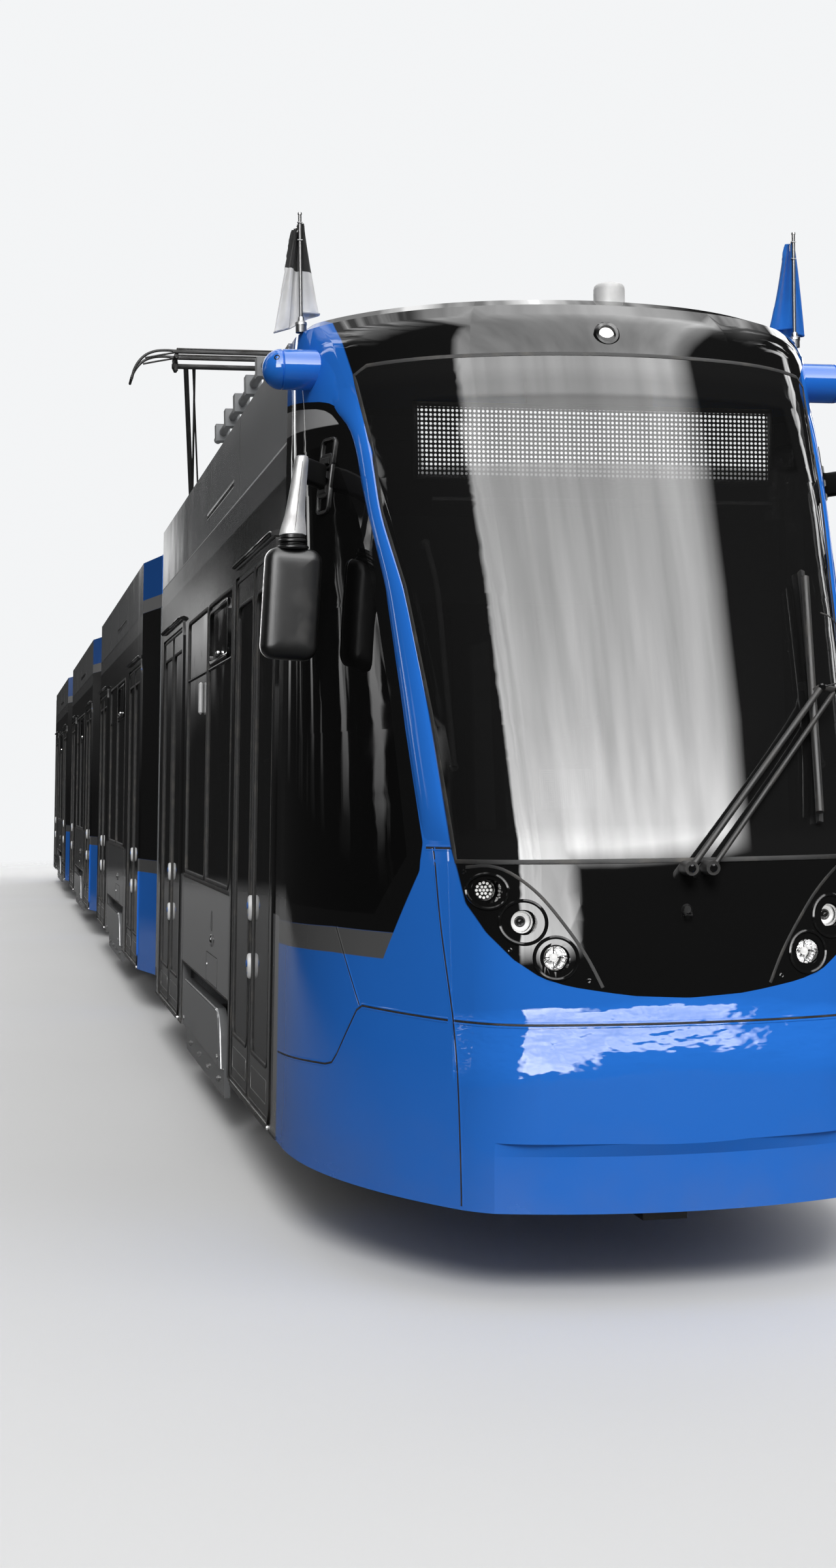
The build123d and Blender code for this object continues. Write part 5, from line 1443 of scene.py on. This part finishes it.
def roof_details():
    """The boxes' fittings, and a pipe on posts along each side of every roof."""
    for key, (front, rear, bogie, _, _) in SECTIONS.items():
        fit, vent = forms(
            f"section_{key}", "unit_paint", f"_{key}", roof_fittings="unit_steel", roof_vents="dark_metal",
        )
        for section, half, shift, length, height in ROOF_BOXES:
            if section == key:
                box_details(fit, vent, half, bogie + shift, length, height)
        for side in (-1, 1):
            vent.tube([(side * 0.90, front + 0.75, 3.02), (side * 0.90, rear - 0.75, 3.02)], 0.022, 8)
            for k in range(6):
                y = front + 0.9 + (rear - front - 1.8) * k / 5
                vent.box(side * 0.86, side * 0.94, y - 0.02, y + 0.02, 2.9605, 3.045, 0.004, 1)
        close(fit, vent)


STRIP_YS = (-4.6, -4.3)
HORN = [
    (0.50, 0.118), (0.60, 0.122), (0.70, 0.112), (0.79, 0.076), (0.86, 0.010), (0.905, -0.07), (0.928, -0.150),
]


def pantograph_details():
    """Insulators, springs and rods, and the head: bows under the two contact strips, horns and braces."""
    rise = math.radians(46.6)
    top = 3.64 + 3.0 * math.sin(rise)
    knee_y, knee_z = -4.45 + 1.5 * math.cos(rise), 3.64 + 1.5 * math.sin(rise)
    brown, = forms("section_b", "unit_paint", insulators="insulator")
    spring, = forms("section_b", "arm_metal", pantograph_springs="steel")
    strips, head = forms("pantograph_head", "arm_metal", carbon_strips="carbon", pantograph_bow="arm_black")
    rods, = forms("pantograph_upper_arm", "arm_metal", pantograph_rods="arm_black")
    sheds = []
    for z in (3.345 + 0.038 * k for k in range(5)):
        sheds += [(0.061, z), (0.082, z + 0.012), (0.080, z + 0.018), (0.061, z + 0.028)]
    for x in (-0.42, 0.42):
        for y in (-4.75, -3.75):
            brown.lathe((x, y, 0), UP, [(0.055, 3.34)] + sheds + [(0.055, 3.529)], 28)
    for x in (-0.28, 0.28):
        turns = [0.45 * k for k in range(140)]
        coil = [(x + 0.028 * math.cos(a), -4.36 + 0.46 * a / 62.8, 3.60 + 0.028 * math.sin(a)) for a in turns]
        spring.tube(coil, 0.0055, 6)
    rods.tube([(-0.20, knee_y, knee_z + 0.03), (-0.33, -4.43, top + 0.02)], 0.009, 8)
    for side in (-1, 1):
        rods.tube([(side * 0.255, knee_y, knee_z), (side * 0.315, -4.45, top)], 0.011, 8)
    for y in STRIP_YS:
        strips.box(-0.50, 0.50, y - 0.017, y + 0.017, top + 0.1305, top + 0.146, 0.004)
        frames = [(Vector((x, y, top + 0.1125)), -AHEAD, UP) for x in (-0.54, 0.54)]
        head.sweep(frames, oblong(0.020, 0.0175, 0.008, 3))
        for side in (-1, 1):
            head.tube(dense([(side * x, y, top + z) for x, z in HORN], 0.025), 0.0135)
            brace = [(0.53, 0.100), (0.66, 0.075), (0.80, 0.045)]
            head.tube([(side * x, y, top + z) for x, z in brace], 0.009, 8)
            strut = [(y, 0.062), (y * 0.5 - 2.225, 0.03), (-4.45, 0.02)]
            head.tube([(side * 0.50, along, top + z) for along, z in strut], 0.012, 8)
    for side in (-1, 1):
        tie = [(0.928, -4.60, 0.15), (0.93, -4.45, 0.152), (0.928, -4.30, 0.15)]
        head.tube([(side * x, y, top - down) for x, y, down in tie], 0.0135)
        head.box(side * 0.48, side * 0.52, -4.60, -4.30, top + 0.060, top + 0.0945, 0.006)
        head.box(side * 0.482, side * 0.518, -4.505, -4.395, top - 0.055, top + 0.062, 0.012)
        hub = [(0, 0), (0.046, 0), (0.046, 0.044), (0.03, 0.052), (0, 0.052)]
        head.lathe((side * 0.478, -4.45, top), (side, 0, 0), hub, 24)
    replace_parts(close(brown, spring, strips, rods, head)[-1], "pantograph_head")


COVER_BOLT = [(0, 0), (0.017, 0), (0.017, 0.005), (0.011, 0.006), (0.011, 0.012), (0, 0.012)]
COVER_STUD = [(0, 0), (0.014, 0), (0.012, 0.004), (0, 0.005)]


def bogie_details():
    """Bolts and a lip on the covers, rubber springs over the beam, and track brakes between the wheels."""
    rings = [(0.02, 0.4005)]
    for z in (0.4005 + 0.014 * k for k in range(4)):
        rings += [(0.070, z), (0.078, z + 0.005), (0.070, z + 0.011)]
    for key, section in SECTIONS.items():
        y = section.bogie
        bolts, soft, brake = forms(
            f"bogie_{key}", "bogie_steel", f"_{key}",
            cover_bolts="steel", bogie_springs="black", track_brakes="rail_brake",
        )
        for side in (-1, 1):
            for shift in (-0.8, -0.27, 0.27, 0.8):
                bolts.lathe((side * 1.1395, y + shift, 0.245), (side, 0, 0), COVER_BOLT, 6)
            for shift in (-0.97, 0.97):
                bolts.lathe((side * 1.1645, y + shift, 0.38), (side, 0, 0), COVER_STUD, 16)
            bolts.box(side * 1.138, side * 1.1445, y - 1.06, y + 1.06, 0.3235, 0.3295, 0.001, 1)
            brake.box(side * 0.70, side * 0.79, y - 0.46, y + 0.46, 0.075, 0.15, 0.012)
            for way in (-1, 1):
                soft.lathe((side * 0.80, y + way * 0.15, 0), UP, rings + [(0.02, 0.452)], 24)
                link = [(side * 0.745, y + way * 0.36, 0.145), (side * 0.745, y + way * 0.198, 0.255)]
                brake.tube(link, 0.016, 8)
        close(bolts, soft, brake)


for key in SECTIONS:
    side_details(key)
    door_details(key)
    interior(key)
cab_inside()
bellows("ab", -8.886)
bellows("bc", 0.0)
bellows("cd", 8.886)
roof_details()
pantograph_details()
bogie_details()


def studio_floor():
    """Pale under the vehicle and to the camera, darker to other rays and darker still in mirrors, fading out far
    away.
    """
    bpy.ops.mesh.primitive_plane_add(size=500, location=(0, 0, 0))
    floor = bpy.context.object
    floor.name = "studio_floor"
    shade = Shade("studio_floor", 0.62, 0.85)
    rays = shade.add("LightPath").outputs
    shade.paint(Val(shade, rays["Is Camera Ray"]).flip(), 0.24)
    shade.paint(Val(shade, rays["Is Glossy Ray"]), 0.04)
    shade.vary(shade.noise(0.4, 2), 0.985, 1.015)
    far = (shade.x.abs() * 0.125).op("POWER", 2) + (shade.y.abs() * 0.033).op("POWER", 2)
    shade.set("Alpha", shade.ramp(far, 1.0, 0.42))
    floor.data.materials.append(shade.mat)


def surround():
    """For reflections only: a tall soft box ahead of the nose, dark walls beside it, a dim streaky street behind."""
    world = bpy.data.worlds.new("studio")
    bpy.context.scene.world = world
    world.use_nodes = True
    sky = Graph(world.node_tree, "Generated")
    x, y, z = sky.x, sky.y, sky.z
    ahead = y * -1.0
    left = x + (ahead.either(0.0) * 0.60 + 0.17)
    high = z.above(0.37, 0.03) * (0.53 - x).above(0, 0.04)
    low = z.above(0.05, 0.03) * (-0.13 - x).above(0, 0.03)
    box = left.above(0, 0.03) * high.either(low) * ahead.above(-0.40, 0.08)
    street = (z - x.abs() * 0.75).above(0.16, 0.08) * y.above(0.25, 0.15)
    grain = sky.noise(1.0, 4, (15, 2, 2.6))
    streak = grain.above(0.57, 0.03) * z.above(0.05, 0.04) * y.above(0.35, 0.1)
    level = streak * (z.above(0.12, 0.08) * 3.0 + 0.15) + 0.015
    level = level.either(street * (grain.above(0.50, 0.06) * 1.3 + 0.35))
    veil = ((1.24 - z) * 11.5).either(2.5) * (grain * 0.9 + 0.55)
    level = level.either(box * veil)

    rays = sky.add("LightPath").outputs
    camera_ray, glossy_ray, through_ray = (
        Val(sky, rays[f"Is {kind} Ray"]) for kind in ("Camera", "Glossy", "Transmission")
    )
    ground = sky.tree.nodes["Background"]
    sky.plug(ground.inputs["Color"], (z.either(0.0) * 0.42 + 0.25) * (x * 0.45 + 1.0))
    seen = sky.add("Background", Color=sky.mix(glossy_ray, (0.90, 0.91, 0.92, 1), level))
    blend = sky.add("MixShader", Fac=camera_ray.either(glossy_ray).either(through_ray))
    sky.plug(blend.inputs[1], ground.outputs[0])
    sky.plug(blend.inputs[2], seen.outputs[0])
    sky.plug(sky.tree.nodes["World Output"].inputs[0], blend.outputs[0])


def lamps():
    for name, place, power, spread in (
        ("key", (-3.0, -16, 14), 2.3, 26),
        ("fill", (12, -9, 12), 0.50, 40),
        ("back", (3, 16, 14), 0.4, 40),
    ):
        data = bpy.data.lights.new(name, "SUN")
        data.energy, data.angle = power, math.radians(spread)
        lamp = bpy.data.objects.new(name, data)
        lamp.location = place
        lamp.visible_glossy = False
        lamp.rotation_mode = "QUATERNION"
        lamp.rotation_quaternion = (-Vector(place)).to_track_quat("-Z", "Y")
        bpy.context.scene.collection.objects.link(lamp)


def camera():
    """Where the photograph was taken: place, heading and roll, focal length from its height in pixels."""
    heading, roll = 0.1943, 0.0114
    ahead = Vector((math.sin(heading), math.cos(heading), 0))
    right = Vector((math.cos(heading), -math.sin(heading), 0))
    x = right * math.cos(roll) - UP * math.sin(roll)
    y = UP * math.cos(roll) + right * math.sin(roll)
    data = bpy.data.cameras.new("camera")
    data.sensor_width = 36
    data.lens = 36 * 3302.54 / 2400
    data.shift_y = 0.00186
    data.clip_end = 1000
    cam = bpy.data.objects.new("camera", data)
    bpy.context.scene.collection.objects.link(cam)
    turn = Matrix((x, y, -ahead)).transposed().to_4x4()
    cam.matrix_world = Matrix.Translation((-2.2656, -25.2879, 1.7419)) @ turn
    bpy.context.scene.camera = cam


studio_floor()
surround()
lamps()
camera()
bpy.context.scene.view_settings.view_transform = "Standard"
